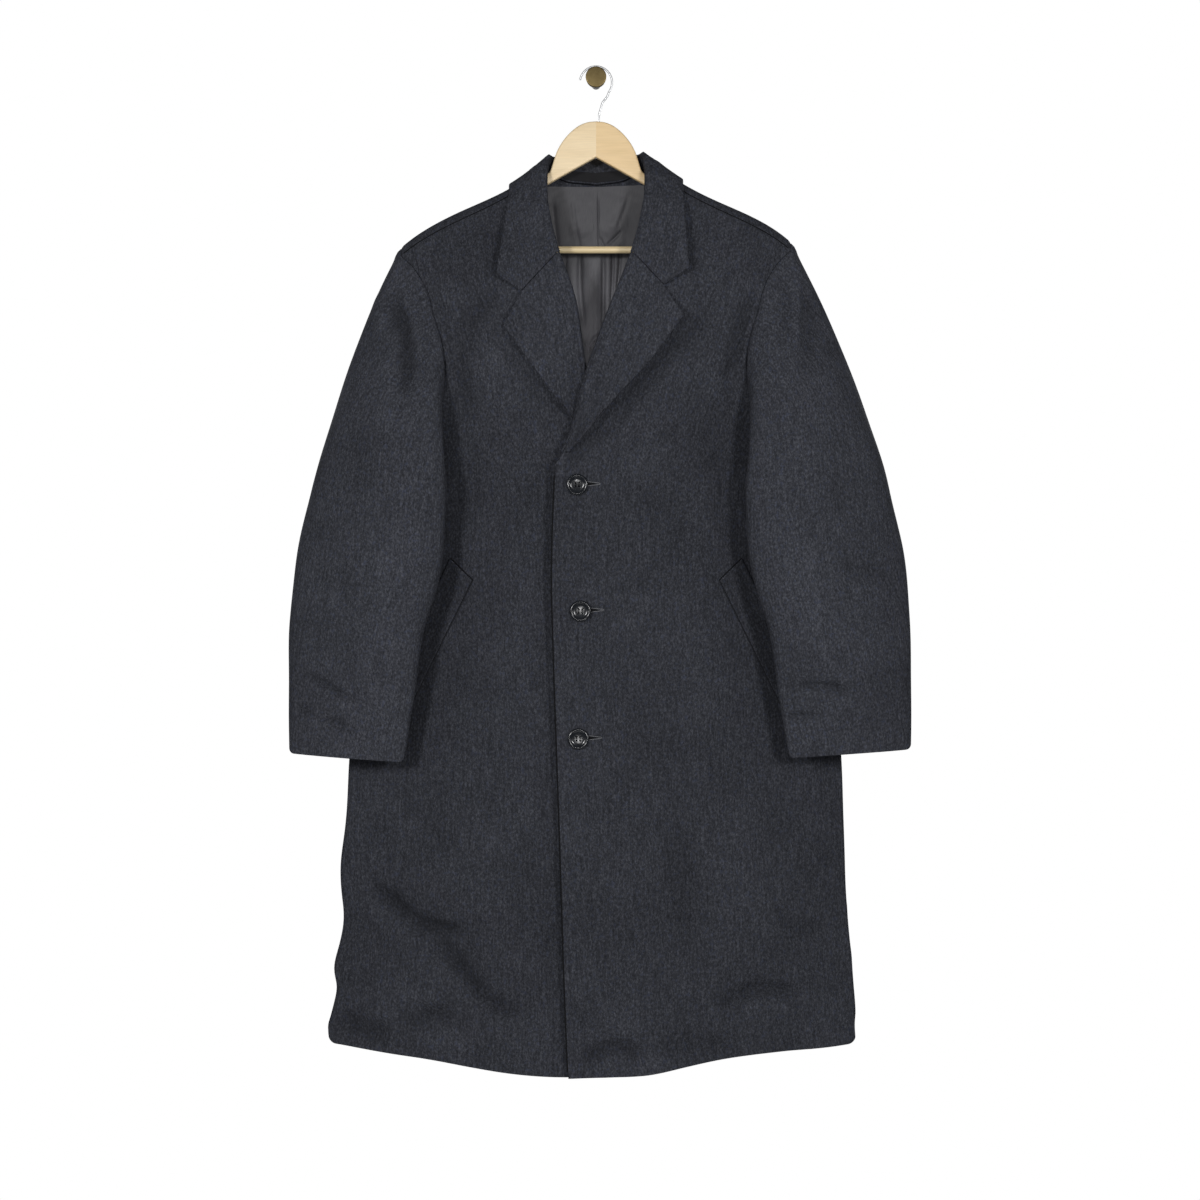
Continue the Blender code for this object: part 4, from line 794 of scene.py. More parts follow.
def sleeve_ring(ring, side, phi):
    """Points of one sleeve ring: 0 degrees outer edge, 90 front, 180 inner edge, 270 back."""
    angle = np.radians(phi)
    outer = np.array([ring.outer_x + SLEEVE_REACH[side], ring.outer_y, ring.outer_z + SLEEVE_LIFT[side]])
    inner = np.array([ring.inner_x, ring.inner_y, ring.inner_z + SLEEVE_LIFT[side]])
    middle = (outer + inner) / 2
    across = (outer - inner) / 2
    front = np.array([0.0, -ring.depth, 0.0])
    points = middle + np.cos(angle)[:, None] * across + np.sin(angle)[:, None] * front
    points[:, 0] *= side
    return shoulder_lift(side, points)


def sleeve_grid(side, armhole, phi):
    """Sleeve columns from the armhole points down through the rings."""
    rings = [sleeve_ring(ring, side, phi) for ring in SLEEVE_RINGS]
    leave = leave_direction(phi) * mirror(side)
    fall = np.linalg.norm(rings[0] - armhole, axis=1, keepdims=True)
    arrive = unit(rings[1] - rings[0])
    grid = []
    for s in even(SLEEVE_HEAD_ROWS)[:-1]:
        ends = (1 + 2 * s) * (1 - s) ** 2 * armhole + s * s * (3 - 2 * s) * rings[0]
        pulls = s * (1 - s) ** 2 * leave + s * s * (s - 1) * arrive
        grid.append(ends + pulls * fall)
    lower = np.stack(rings)
    shares = even(SLEEVE_ARM_ROWS)
    arm = np.stack([curve_through(lower[:, index], shares) for index in range(lower.shape[1])], axis=1)
    cuff = SLEEVE_RINGS[-1]
    to_side = (cuff.outer_x - cuff.inner_x) / 2 * (1 - abs(np.cos(np.radians(phi))))
    near_cuff = smooth_step((shares - CUFF_CORNER_FROM) / (1 - CUFF_CORNER_FROM))
    arm[..., 2] += rounded_corner(CUFF_CORNER, to_side) * near_cuff[:, None]
    return np.concatenate((np.stack(grid), arm))


def armhole_angles():
    """Angles round the armhole from the underarm to the shoulder, up the front and up the back."""
    front = UNDERARM_PHI * (1 - even(CHEST_ROWS))
    return front, UNDERARM_PHI + (360.0 - UNDERARM_PHI) * even(BLADE_ROWS + YOKE_ROWS)


def underarm_ease(side, phi):
    """Small step away from the armhole where the sleeve doubles back under the arm."""
    spread = np.where(phi < UNDERARM_PHI, UNDERARM_FRONT_SPREAD, UNDERARM_BACK_SPREAD)
    near = smooth_step(UNDERARM_FULL - abs(phi - UNDERARM_PHI) / spread)
    leave = leave_direction(phi) * mirror(side)
    return leave * (UNDERARM_EASE * near)[:, None]


def edge_distances(grid):
    """Distance of each point from the first and last column and the first and last row."""
    across = np.linalg.norm(np.diff(grid, axis=1), axis=2)
    down = np.linalg.norm(np.diff(grid, axis=0), axis=2)
    from_column = np.concatenate((np.zeros((len(grid), 1)), np.cumsum(across, axis=1)), axis=1)
    from_row = np.concatenate((np.zeros((1, grid.shape[1])), np.cumsum(down, axis=0)))
    return {
        "first_column": from_column,
        "last_column": from_column[:, -1:] - from_column,
        "first_row": from_row,
        "last_row": from_row[-1:] - from_row,
    }


def seam_relief(distance):
    """A seam's groove with the allowance swelling beside it."""
    groove = -SEAM_GROOVE * np.exp(-((distance / SEAM_SPREAD) ** 2))
    return groove + SEAM_SWELL * np.exp(-(((distance - SEAM_SWELL_AT) / SEAM_SWELL_SPREAD) ** 2))


def cloth_waves(grid):
    """Slight unevenness, the same wherever two pieces meet."""
    draw = np.random.default_rng(WAVE_SEED)
    height = np.zeros(grid.shape[:2])
    for _ in range(WAVE_COUNT):
        heading = unit(draw.normal(size=3))
        step = draw.uniform(*WAVE_LENGTHS)
        height += WAVE_HEIGHT * np.sin(grid @ heading * 2 * math.pi / step + draw.uniform(0.0, 2 * math.pi))
    return height


def crease_relief(creases, grid):
    """Height given by creases that run along their own routes in the view from the front."""
    height = np.zeros(grid.shape[:2])
    flat = grid[..., [0, 2]]
    for route, width, depth in creases:
        line = curve_through(route, np.linspace(0.0, 1.0, CREASE_POINTS))
        low = line.min(axis=0) - CREASE_REACH * width
        high = line.max(axis=0) + CREASE_REACH * width
        near = np.all((flat > low) & (flat < high), axis=-1)
        if not near.any():
            continue
        gaps = np.linalg.norm(flat[near][:, None, :] - line[None], axis=2)
        closest = gaps.argmin(axis=1)
        share = closest / (CREASE_POINTS - 1)
        swell = smooth_step(share / CREASE_END + CREASE_END_DEPTH)
        swell *= smooth_step((1 - share) / CREASE_END + CREASE_END_DEPTH)
        off = gaps.min(axis=1) / width
        height[near] -= depth * np.exp(-off * off) * swell
    return height


def share_seam_normals(grids, normals):
    """Give the rim points that meet at a seam one mean normal, but not where a sleeve doubles back."""
    meeting = {}
    rims = {}
    for key, grid in grids.items():
        rows, columns = grid.shape[:2]
        rim = [(0, column) for column in range(columns)] + [(rows - 1, column) for column in range(columns)]
        rim += [(row, 0) for row in range(1, rows - 1)] + [(row, columns - 1) for row in range(1, rows - 1)]
        rims[key] = rim
        kind = "sleeve" if "sleeve" in key else "body"
        for place in rim:
            kinds = meeting.setdefault(tuple(np.round(grid[place], 2)), {"body": [], "sleeve": []})
            kinds[kind].append(normals[key][place].copy())
    for key, grid in grids.items():
        kind = "sleeve" if "sleeve" in key else "body"
        for place in rims[key]:
            kinds = meeting[tuple(np.round(grid[place], 2))]
            agree = [one @ other for one in kinds["body"] for other in kinds["sleeve"]]
            join = bool(agree) and min(agree) > SLEEVE_AGREE
            mean = np.sum(kinds["body"] + kinds["sleeve"] if join else kinds[kind], axis=0)
            normals[key][place] = unit(mean)


def with_rims(grid, normals, wall):
    """Add close lines along all four edges and the fall of the surface that rounds the rim there."""
    half = wall / 2
    steps = SEAM_GAP / 2 + half * np.array(RIM_STEPS)
    falls = half * np.array(RIM_FALLS)
    fall = np.zeros(grid.shape[:2])
    for axis in (1, 0):
        grid, normals, fall = (np.moveaxis(known, axis, 0) for known in (grid, normals, fall))
        into_first = unit(grid[1] - grid[0])
        into_last = unit(grid[-2] - grid[-1])
        start = np.stack([grid[0] + into_first * step for step in steps])
        end = np.stack([grid[-1] + into_last * step for step in steps[::-1]])
        start_fall = np.maximum(fall[0][None], falls[:, None])
        end_fall = np.maximum(fall[-1][None], falls[::-1, None])
        grid = np.concatenate((start, grid[1:-1], end))
        count = len(steps)
        ends = [np.repeat(normals[place:place + 1], count, 0) for place in (0, len(normals) - 1)]
        normals = np.concatenate((ends[0], normals[1:-1], ends[1]))
        fall = np.concatenate((start_fall, fall[1:-1], end_fall))
        grid, normals, fall = (np.moveaxis(known, 0, axis) for known in (grid, normals, fall))
    return grid, normals, fall


def finish_mesh(name, model, finish, crisp=CRISP_ANGLE):
    """An object from a mesh under work, shaded smooth but for crisp edges."""
    mesh = bpy.data.meshes.new(name)
    model.to_mesh(mesh)
    model.free()
    mesh.shade_smooth()
    mesh.set_sharp_from_angle(angle=math.radians(crisp))
    mesh.materials.append(finish)
    item = bpy.data.objects.new(name, mesh)
    bpy.context.scene.collection.objects.link(item)
    return item


def extrude_all(model, step):
    """Carry all faces along a step, with walls between."""
    lifted = bmesh.ops.extrude_face_region(model, geom=list(model.faces), use_keep_orig=True)
    corners = [part for part in lifted["geom"] if isinstance(part, bmesh.types.BMVert)]
    bmesh.ops.translate(model, verts=corners, vec=step)
    bmesh.ops.recalc_face_normals(model, faces=model.faces)


def cloth_shell(name, shown, hidden, finish, painted_crease_shading):
    """A closed thin wall between two like grids of points, with the cloth's lengths as UV and the painted
    shade of its creases and painted light of its ridges.
    """
    rows, columns = shown.shape[:2]
    model = bmesh.new()
    bmesh.ops.create_grid(model, x_segments=columns - 1, y_segments=rows - 1, size=0.5)
    extrude_all(model, (0.0, 0.0, 1.0))
    facing = np.cross(np.gradient(shown, axis=1), np.gradient(shown, axis=0))
    if np.sum(facing * (shown - hidden)) < 0:
        bmesh.ops.reverse_faces(model, faces=model.faces)
    item = finish_mesh(name, model, finish)
    mesh = item.data
    slab = np.empty(len(mesh.vertices) * 3)
    mesh.vertices.foreach_get("co", slab)
    slab = slab.reshape(-1, 3)
    column = np.rint((slab[:, 0] + 0.5) * (columns - 1)).astype(int)
    row = np.rint((slab[:, 1] + 0.5) * (rows - 1)).astype(int)
    layer = np.rint(slab[:, 2]).astype(int)
    places = np.stack((hidden, shown))[layer, row, column] * MM
    mesh.vertices.foreach_set("co", places.ravel())
    away = edge_distances(shown)
    heights = np.broadcast_to(away["first_row"].mean(axis=1)[:, None], (rows, columns))
    lengths = np.stack((away["first_column"], heights), axis=-1) * MM
    corner = np.empty(len(mesh.loops), dtype=int)
    mesh.loops.foreach_get("vertex_index", corner)
    chart = mesh.uv_layers.new(name="cloth")
    chart.data.foreach_set("uv", lengths[row[corner], column[corner]].ravel())
    # Painted shade in the creases and painted light on the ridges, kept on the outer face's points
    painted_light_and_shade = mesh.attributes.new("painted_crease_shading", "FLOAT", "POINT")
    painted_light_and_shade.data.foreach_set("value", np.where(layer == 1, painted_crease_shading[row, column], 1.0))
    mesh.update()
    return item


def walled(name, grid, normals, wall, finish, painted_crease_shading=None):
    """A cloth piece with rounded rims, its wall set inwards from the grid."""
    points, facing, fall = with_rims(grid, normals, wall)
    shown = points - facing * fall[..., None]
    hidden = points - facing * (wall - fall)[..., None]
    painted_crease_shading = np.ones(grid.shape[:2]) if painted_crease_shading is None else painted_crease_shading
    return cloth_shell(name, shown, hidden, finish, np.pad(painted_crease_shading, len(RIM_STEPS) - 1, mode="edge"))


def surface_tree(grids):
    """A search tree over the surfaces of some grids."""
    vertices = []
    faces = []
    for grid in grids:
        rows, columns = grid.shape[:2]
        base = len(vertices)
        vertices += [Vector(point) for point in grid.reshape(-1, 3)]
        first = base + (np.arange(rows - 1)[:, None] * columns + np.arange(columns - 1)[None]).ravel()
        quads = np.stack((first, first + 1, first + columns + 1, first + columns), axis=1)
        faces += quads.tolist()
    return BVHTree.FromPolygons(vertices, faces)


def front_y(tree, x, z):
    """Depth of a surface seen from the front at a place."""
    hit = tree.ray_cast(Vector((x, BEFORE_COAT_Y, z)), Vector((0.0, 1.0, 0.0)))
    return hit[0].y


def pushed_clear(points, tree, towards, gaps):
    """Points moved out until each lies its gap above the surface below it."""
    cleared = points.copy()
    for place in np.ndindex(points.shape[:-1]):
        point = Vector(points[place])
        near, normal, _, _ = tree.find_nearest(point)
        if normal.dot(Vector(towards[place])) < 0:
            normal = -normal
        height = (point - near).dot(normal)
        if height < gaps[place]:
            cleared[place] = np.array(point + normal * (gaps[place] - height))
    return cleared


def lapel_widths():
    """Shares across a lapel or a collar front, one of them at the notch."""
    return even(LAPEL_COLUMNS)[1:]


def notch_bump(widths):
    """One at the notch, falling to nothing at the roll and at the outer edge."""
    return np.minimum(widths / NOTCH_SHARE, (1 - widths) / (1 - NOTCH_SHARE))


def edge_lift(widths):
    """How much of the lift an outer edge has at shares across."""
    return smooth_step((widths - LIFT_FROM_WIDTH) / (1 - LIFT_FROM_WIDTH))


def lapel_grid(side, tree):
    """Hidden face of a lapel: round the front's roll edge, then over the front to its own edge."""
    shares = np.linspace(LAPEL_START, 1.0, LAPEL_ROWS + 1)
    rows = 1.0 + shares * GORGE_ROW_IN_SOLID / CHEST_ROWS_IN_SOLID
    strip = front_grid(side, rows, ROLL_COLUMNS)
    roll = strip[:, 0]
    over = unit(strip[:, 1] - strip[:, 0])
    out = grid_normals(strip, TOWARDS_VIEWER)[:, 0]
    edge = curve_through(LAPEL_EDGES[side], shares)
    widths = lapel_widths()
    straight = roll[-1][[0, 2]] + (edge[-1] - roll[-1][[0, 2]]) * NOTCH_SHARE
    notch_step = np.array(NOTCHES[side]) - straight
    grid = np.zeros((len(shares), WRAP_COLUMNS + LAPEL_COLUMNS, 3))
    for column, turn in enumerate(np.radians(np.linspace(WRAP_FROM, WRAP_TO, WRAP_COLUMNS))):
        step_over = WRAP_OVER + WRAP_RADIUS * math.cos(turn)
        step_out = WRAP_OUT + WRAP_RADIUS * math.sin(turn)
        grid[:, column] = roll + over * step_over + out * step_out
    for row, share in enumerate(shares):
        bend = smooth_step((share - LAPEL_BEND_FROM) / (1 - LAPEL_BEND_FROM))
        start = roll[row][[0, 2]]
        flat = start + (edge[row] - start) * widths[:, None]
        flat = flat + notch_step * (notch_bump(widths) * bend)[:, None]
        arch = np.sin(math.pi * np.minimum(widths * LAPEL_BOW_SPREAD + LAPEL_BOW_FROM, 1.0))
        bow = LAPEL_BOW[side] * arch * smooth_step(share * LAPEL_BOW_SOON)
        bow += LAPEL_LIFT[side] * edge_lift(widths) * smooth_step(share * LAPEL_LIFT_SOON[side])
        for column, (x, z) in enumerate(flat):
            grid[row, column + WRAP_COLUMNS] = (x, front_y(tree, x, z) - LAY_GAP - bow[column], z)
    return grid


def gorge_row(side, tree, lapel_top):
    """Front end of the collar: along the lapel's top edge to the notch, then out to the collar point."""
    row = lapel_top.copy()
    notch = lapel_top[WRAP_COLUMNS - 1 + round(NOTCH_SHARE * LAPEL_COLUMNS)]
    corner_x, corner_z = COLLAR_POINTS[side]
    for column, width in enumerate(lapel_widths()):
        if width > NOTCH_SHARE + PAST_NOTCH:
            share = (width - NOTCH_SHARE) / (1 - NOTCH_SHARE)
            x = notch[0] + (corner_x - notch[0]) * share
            z = notch[2] + (corner_z - notch[2]) * share
            y = front_y(tree, x, z) - LAY_GAP - COLLAR_LIFT[side] * edge_lift(width)
            row[column + WRAP_COLUMNS] = (x, y, z)
    row[:, 2] += SEAM_GAP
    return row


def collar_half(side, tree, neck, lapel_top):
    """Hidden face of half the collar: rows from the centre back to the gorge."""
    known = np.arange(len(COLLAR_SECTIONS))
    steps = np.linspace(0.0, known[-1], known[-1] * COLLAR_STEPS + 1)
    table = curve_through(COLLAR_SECTIONS, steps, known)
    neck_shares = length_shares(neck)
    base = np.stack([np.interp(table[:, 0], neck_shares, neck[:, axis]) for axis in range(3)], axis=1)
    roll = shoulder_lift(side, table[:, 1:4] * mirror(side))
    edge = shoulder_lift(side, table[:, 4:7] * mirror(side))
    stand = np.linspace(0.0, 1.0, WRAP_COLUMNS)[None, :, None]
    widths = lapel_widths()[None, :, None]
    stand_part = base[:, None] + (roll - base)[:, None] * stand
    fall_part = roll[:, None] + (edge - roll)[:, None] * widths
    grid = np.concatenate((stand_part, fall_part), axis=1)
    for _ in range(ROLL_SOFT_PASSES):
        grid[:, 1:-1] = (grid[:, :-2] + 2 * grid[:, 1:-1] + grid[:, 2:]) / 4
    blend = smooth_step((steps / known[-1] - GORGE_BLEND) / (1 - GORGE_BLEND))
    grid += (gorge_row(side, tree, lapel_top) - grid[-1])[None] * blend[:, None, None]
    towards = np.zeros_like(grid)
    towards[:] = COLLAR_FRONT_OUT
    towards[: len(steps) // COLLAR_BACK_PART] = COLLAR_BACK_OUT
    gaps = COLLAR_GAP + RIDGE_GAP * np.exp(-(((steps - RIDGE_SECTION) / RIDGE_SPREAD) ** 2))
    lifted = smooth_step((steps - COLLAR_LIFT_FROM) / COLLAR_LIFT_OVER)
    gaps = gaps[:, None] + COLLAR_LIFT[side] * lifted[:, None] * edge_lift(lapel_widths())[None]
    grid[:-1, WRAP_COLUMNS:] = pushed_clear(grid[:-1, WRAP_COLUMNS:], tree, towards[:-1, WRAP_COLUMNS:], gaps)
    return grid


def tube(name, route, radii, sides, finish):
    """A round bar or wire along a route, closed at both ends where its radius comes to nothing."""
    route = np.asarray(route, dtype=float)
    radii = np.broadcast_to(np.asarray(radii, dtype=float), len(route))
    heading = unit(np.gradient(route, axis=0))
    lift = unit(np.cross(heading, TOWARDS_VIEWER))
    out = unit(np.cross(lift, heading))
    turns = np.linspace(0.0, 2 * math.pi, sides + 1)
    ring = np.cos(turns)[None, :, None] * out[:, None] + np.sin(turns)[None, :, None] * lift[:, None]
    skin = (route[:, None] + ring * radii[:, None, None]) * MM
    model = bmesh.new()
    bmesh.ops.create_grid(model, x_segments=sides, y_segments=len(route) - 1, size=0.5)
    for corner in model.verts:
        column = round((corner.co.x + 0.5) * sides)
        row = round((corner.co.y + 0.5) * (len(route) - 1))
        corner.co = skin[row, column]
    bmesh.ops.remove_doubles(model, verts=model.verts, dist=WELD)
    bmesh.ops.recalc_face_normals(model, faces=model.faces)
    return finish_mesh(name, model, finish)


def turned_model(profile, sides, place):
    """A turned shape from a profile of radius and height, facing the viewer from a place."""
    model = bmesh.new()
    corners = [model.verts.new((radius * MM, 0.0, height * MM)) for radius, height in profile]
    lines = [model.edges.new(pair) for pair in zip(corners, corners[1:])]
    bmesh.ops.spin(
        model,
        geom=corners + lines,
        cent=(0.0, 0.0, 0.0),
        axis=(0.0, 0.0, 1.0),
        angle=2 * math.pi,
        steps=sides,
        use_merge=True,
        use_duplicate=False,
    )
    bmesh.ops.remove_doubles(model, verts=model.verts, dist=WELD)
    bmesh.ops.recalc_face_normals(model, faces=model.faces)
    facing = Matrix.Rotation(math.pi / 2, 3, "X")
    bmesh.ops.rotate(model, verts=model.verts, cent=(0.0, 0.0, 0.0), matrix=facing)
    bmesh.ops.translate(model, verts=model.verts, vec=Vector(place) * MM)
    return model


def shader_node(tree, kind, inputs, **options):
    """A node with its options and inputs set, or linked where a socket is given."""
    made = tree.nodes.new(kind)
    for word, value in options.items():
        setattr(made, word, value)
    for word, value in inputs.items():
        if isinstance(value, bpy.types.NodeSocket):
            tree.links.new(value, made.inputs[word])
        else:
            made.inputs[word].default_value = value
    return made


def new_finish(name, **settings):
    """A material, its nodes and its main surface with what is the same all over it."""
    finish = bpy.data.materials.new(name)
    finish.use_nodes = True
    surface = finish.node_tree.nodes["Principled BSDF"]
    for word, value in settings.items():
        surface.inputs[SOCKETS[word]].default_value = value
    return finish, finish.node_tree, surface


def own_places(tree, kind="Object"):
    """The piece's own coordinates."""
    return shader_node(tree, "ShaderNodeTexCoord", {}).outputs[kind]


def noise(tree, vector, scale, detail=2.0, roughness=0.55):
    """Cloudy variation at a scale per metre."""
    inputs = {"Vector": vector, "Scale": scale, "Detail": detail, "Roughness": roughness}
    return shader_node(tree, "ShaderNodeTexNoise", inputs).outputs["Fac"]


def ramp(tree, factor, *stops):
    """Colours at places along a factor."""
    made = shader_node(tree, "ShaderNodeValToRGB", {"Fac": factor})
    steps = made.color_ramp.elements
    while len(steps) < len(stops):
        steps.new(0.5)
    for step, (place, colour) in zip(steps, stops):
        step.position = place
        step.color = (*colour, 1.0) if hasattr(colour, "__len__") else (colour, colour, colour, 1.0)
    return made.outputs["Color"]


def mixed(tree, how, share, first, second):
    """Two colours mixed in one way."""
    inputs = {"Fac": share, "Color1": first, "Color2": second}
    return shader_node(tree, "ShaderNodeMixRGB", inputs, blend_type=how).outputs["Color"]


def stretched(tree, vector, scale, turn=(0.0, 0.0, 0.0)):
    """Coordinates turned and stretched for a grain."""
    inputs = {"Vector": vector, "Scale": scale, "Rotation": turn}
    return shader_node(tree, "ShaderNodeMapping", inputs).outputs["Vector"]


def bumped(tree, surface, height, strength, distance):
    """Small relief on a surface."""
    inputs = {"Strength": strength, "Distance": distance, "Height": height}
    tree.links.new(shader_node(tree, "ShaderNodeBump", inputs).outputs["Normal"], surface.inputs["Normal"])


def painted(tree, surface, values, setting="Base Color"):
    """Let one of a surface's settings vary over it."""
    tree.links.new(values, surface.inputs[setting])


def charcoal_wool(name, painted_light_and_shade):
    """Heathered melton: pale and dark fibres, bluish flecks, faint streaks and a brushed nap; a lightness
    factor paints light onto the sleeves, and painted shade and light mark the creases and ridges.
    """
    finish, tree, surface = new_finish(name, rough=0.92, specular=0.04, sheen=0.008, sheen_rough=0.45)
    across = own_places(tree)
    fibres = noise(tree, stretched(tree, across, (1.0, 1.0, 0.58)), 500.0, 3.0, 0.72)
    # The colour is scaled by a lightness factor, which paints light onto the sleeves
    middle = tuple(part * painted_light_and_shade for part in (0.0245, 0.0257, 0.0310))
    dark = tuple(0.55 * part for part in middle)
    pale = tuple(2.0 * part * painted_light_and_shade for part in (0.0245, 0.0257, 0.0306))
    colour = ramp(tree, fibres, (0.30, dark), (0.50, middle), (0.68, pale))
    flecks = ramp(tree, noise(tree, across, 260.0, 1.0), (0.58, 0.0), (0.70, 0.36))
    colour = mixed(tree, "MIX", flecks, colour, (0.034 * painted_light_and_shade, 0.040 * painted_light_and_shade, 0.064 * painted_light_and_shade, 1.0))
    streaks = noise(tree, stretched(tree, own_places(tree, "UV"), (340.0, 26.0, 1.0)), 1.0, 2.0)
    colour = mixed(tree, "MULTIPLY", 1.0, colour, ramp(tree, streaks, (0.30, 0.80), (0.70, 1.20)))
    clouds = ramp(tree, noise(tree, across, 9.0, 2.0), (0.25, 0.86), (0.75, 1.12))
    colour = mixed(tree, "MULTIPLY", 1.0, colour, clouds)
    # Painted shade darkens the wool in its creases and painted light makes it paler on its ridges
    painted_crease_shading = shader_node(tree, "ShaderNodeAttribute", {}, attribute_name="painted_crease_shading").outputs["Fac"]
    colour = mixed(tree, "MULTIPLY", 1.0, colour, painted_crease_shading)
    painted(tree, surface, colour)
    bumped(tree, surface, noise(tree, across, 700.0, 3.0, 0.65), 0.3, 0.0008)
    return finish


def grey_satin():
    """Lining satin with a fine warp and a soft shine, painted lighter low down and darker near the neck."""
    finish, tree, surface = new_finish("satin_lining_grey", rough=0.55, specular=0.25, sheen=0.10)
    warp = noise(tree, stretched(tree, own_places(tree, "UV"), (1400.0, 90.0, 1.0)), 1.0, 2.0)
    colour = ramp(tree, warp, (0.3, (0.072, 0.071, 0.079)), (0.7, (0.098, 0.097, 0.107)))
    # Painted light and shade: the colour is raised low down, where little light reaches, and lowered near the
    # neck
    height = shader_node(tree, "ShaderNodeSeparateXYZ", {"Vector": own_places(tree)}).outputs["Z"]
    share = shader_node(tree, "ShaderNodeMapRange", {"Value": height, "From Min": -0.34, "From Max": -0.14})
    painted_light_by_height = ramp(tree, share.outputs["Result"], (0.12, 1.9), (0.62, 0.54))
    colour = mixed(tree, "MULTIPLY", 1.0, colour, painted_light_by_height)
    painted(tree, surface, colour)
    bumped(tree, surface, warp, 0.12, 0.0004)
    return finish


def black_tape():
    """Woven label tape, bare."""
    finish, tree, surface = new_finish("label_tape_black", rough=0.6, specular=0.12)
    inputs = {"Vector": own_places(tree, "UV"), "Scale": 420.0, "Distortion": 0.6}
    ribs = shader_node(tree, "ShaderNodeTexWave", inputs)
    colour = ramp(tree, ribs.outputs["Fac"], (0.2, (0.006, 0.006, 0.007)), (0.8, (0.012, 0.012, 0.014)))
    painted(tree, surface, colour)
    bumped(tree, surface, ribs.outputs["Fac"], 0.3, 0.0004)
    return finish


def dark_horn():
    """Polished dark button with faint clouding."""
    finish, tree, surface = new_finish("button_dark_horn", specular=0.42)
    across = own_places(tree)
    cloud = noise(tree, across, 170.0, 3.0)
    colour = ramp(tree, cloud, (0.3, (0.003, 0.0038, 0.0055)), (0.7, (0.008, 0.0095, 0.0125)))
    painted(tree, surface, colour)
    scuff = ramp(tree, noise(tree, across, 900.0, 2.0), (0.3, 0.15), (0.7, 0.24))
    painted(tree, surface, scuff, "Roughness")
    return finish


def sewing_thread(name, colour):
    """Twisted thread."""
    finish, tree, surface = new_finish(name, rough=0.75, specular=0.06)
    across = own_places(tree)
    twist = noise(tree, across, 2200.0, 1.0)
    dark = tuple(0.55 * part for part in colour)
    painted(tree, surface, ramp(tree, twist, (0.3, dark), (0.7, colour)))
    bumped(tree, surface, twist, 0.5, 0.0004)
    return finish


def pale_birch(name, pale, deep, turn):
    """Birch with long grain, flecks and a thin satin lacquer."""
    finish, tree, surface = new_finish(name, rough=0.42, coat=0.15, coat_rough=0.3)
    across = own_places(tree)
    along = stretched(tree, across, (7.0, 60.0, 70.0), (0.0, turn, 0.0))
    grain = noise(tree, along, 1.0, 4.0, 0.6)
    colour = ramp(tree, grain, (0.30, deep), (0.62, pale))
    fine = noise(tree, stretched(tree, across, (40.0, 400.0, 900.0), (0.0, turn, 0.0)), 1.0, 2.0)
    colour = mixed(tree, "MULTIPLY", 1.0, colour, ramp(tree, fine, (0.35, 0.95), (0.65, 1.03)))
    painted(tree, surface, colour)
    bumped(tree, surface, fine, 0.10, 0.0003)
    return finish


def bright_chrome():
    """Polished wire with faint drawing marks."""
    finish, tree, surface = new_finish("wire_chrome", metal=1.0)
    across = own_places(tree)
    marks = noise(tree, across, 600.0, 2.0)
    colour = ramp(tree, marks, (0.3, (0.60, 0.605, 0.615)), (0.7, (0.66, 0.665, 0.675)))
    painted(tree, surface, colour)
    painted(tree, surface, ramp(tree, marks, (0.3, 0.46), (0.7, 0.54)), "Roughness")
    return finish


def aged_brass():
    """Brushed brass gone dull, darker towards bronze in places."""
    finish, tree, surface = new_finish("peg_aged_brass", metal=0.85)
    across = own_places(tree)
    tarnish = noise(tree, across, 130.0, 4.0, 0.6)
    colour = ramp(tree, tarnish, (0.30, (0.110, 0.080, 0.032)), (0.70, (0.145, 0.108, 0.046)))
    painted(tree, surface, colour)
    brushed = noise(tree, stretched(tree, across, (60.0, 60.0, 2200.0)), 1.0, 2.0)
    painted(tree, surface, ramp(tree, brushed, (0.3, 0.40), (0.7, 0.47)), "Roughness")
    bumped(tree, surface, brushed, 0.04, 0.0002)
    return finish


def pale_floor():
    """Matt studio floor with a hardly seen mottle."""
    finish, tree, surface = new_finish("studio_floor", rough=0.9)
    across = own_places(tree)
    mottle = noise(tree, across, 3.0, 3.0)
    painted(tree, surface, ramp(tree, mottle, (0.3, 0.80), (0.7, 0.84)))
    return finish


def dressed(item, slot, *nodes):
    """Fix a piece to the coat's one body, in place of the solids that it stands for."""
    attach(item, "root")
    if nodes:
        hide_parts(*nodes)
    return item


def cloth_piece(name, slot, node, grid, normals, wall, finish, painted_crease_shading=None):
    """A walled cloth piece in its solid's place."""
    item = dressed(walled(name, grid, normals, wall, finish, painted_crease_shading), slot, node)


def wool_piece(node, *shape):
    """A cloth piece of the coat's wool."""
    cloth_piece("wool_" + node, "charcoal_wool", node, *shape)


def sewn(name, route, radius, finish, sides=THREAD_SIDES):
    """A thread, a cord or a black line of painted shade, sewn into the coat."""
    dressed(rounded_tube(name, route, radius, sides, finish), "charcoal_wool")


def make_camera():
    """The photograph's level view."""
    lens = bpy.data.cameras.new("view")
    lens.sensor_width = VIEW_SENSOR
    lens.lens = VIEW_LENS
    lens.clip_end = 50.0
    camera = bpy.data.objects.new("view", lens)
    camera.location = VIEW_PLACE
    camera.rotation_euler = (math.pi / 2, 0.0, 0.0)
    bpy.context.scene.collection.objects.link(camera)
    bpy.context.scene.camera = camera


def make_lamp(lamp):
    """One studio lamp."""
    light = bpy.data.lights.new(lamp.name, "SPOT" if lamp.angle else "AREA")
    if lamp.angle:
        light.spot_size = math.radians(lamp.angle)
        light.spot_blend = 1.0
        light.shadow_soft_size = lamp.size
    else:
        light.shape = "DISK"
        light.size = lamp.size
    light.energy = lamp.power
    item = bpy.data.objects.new(lamp.name, light)
    item.location = lamp.place
    item.rotation_euler = (Vector(lamp.aim) - Vector(lamp.place)).to_track_quat("-Z", "Y").to_euler()
    bpy.context.scene.collection.objects.link(item)


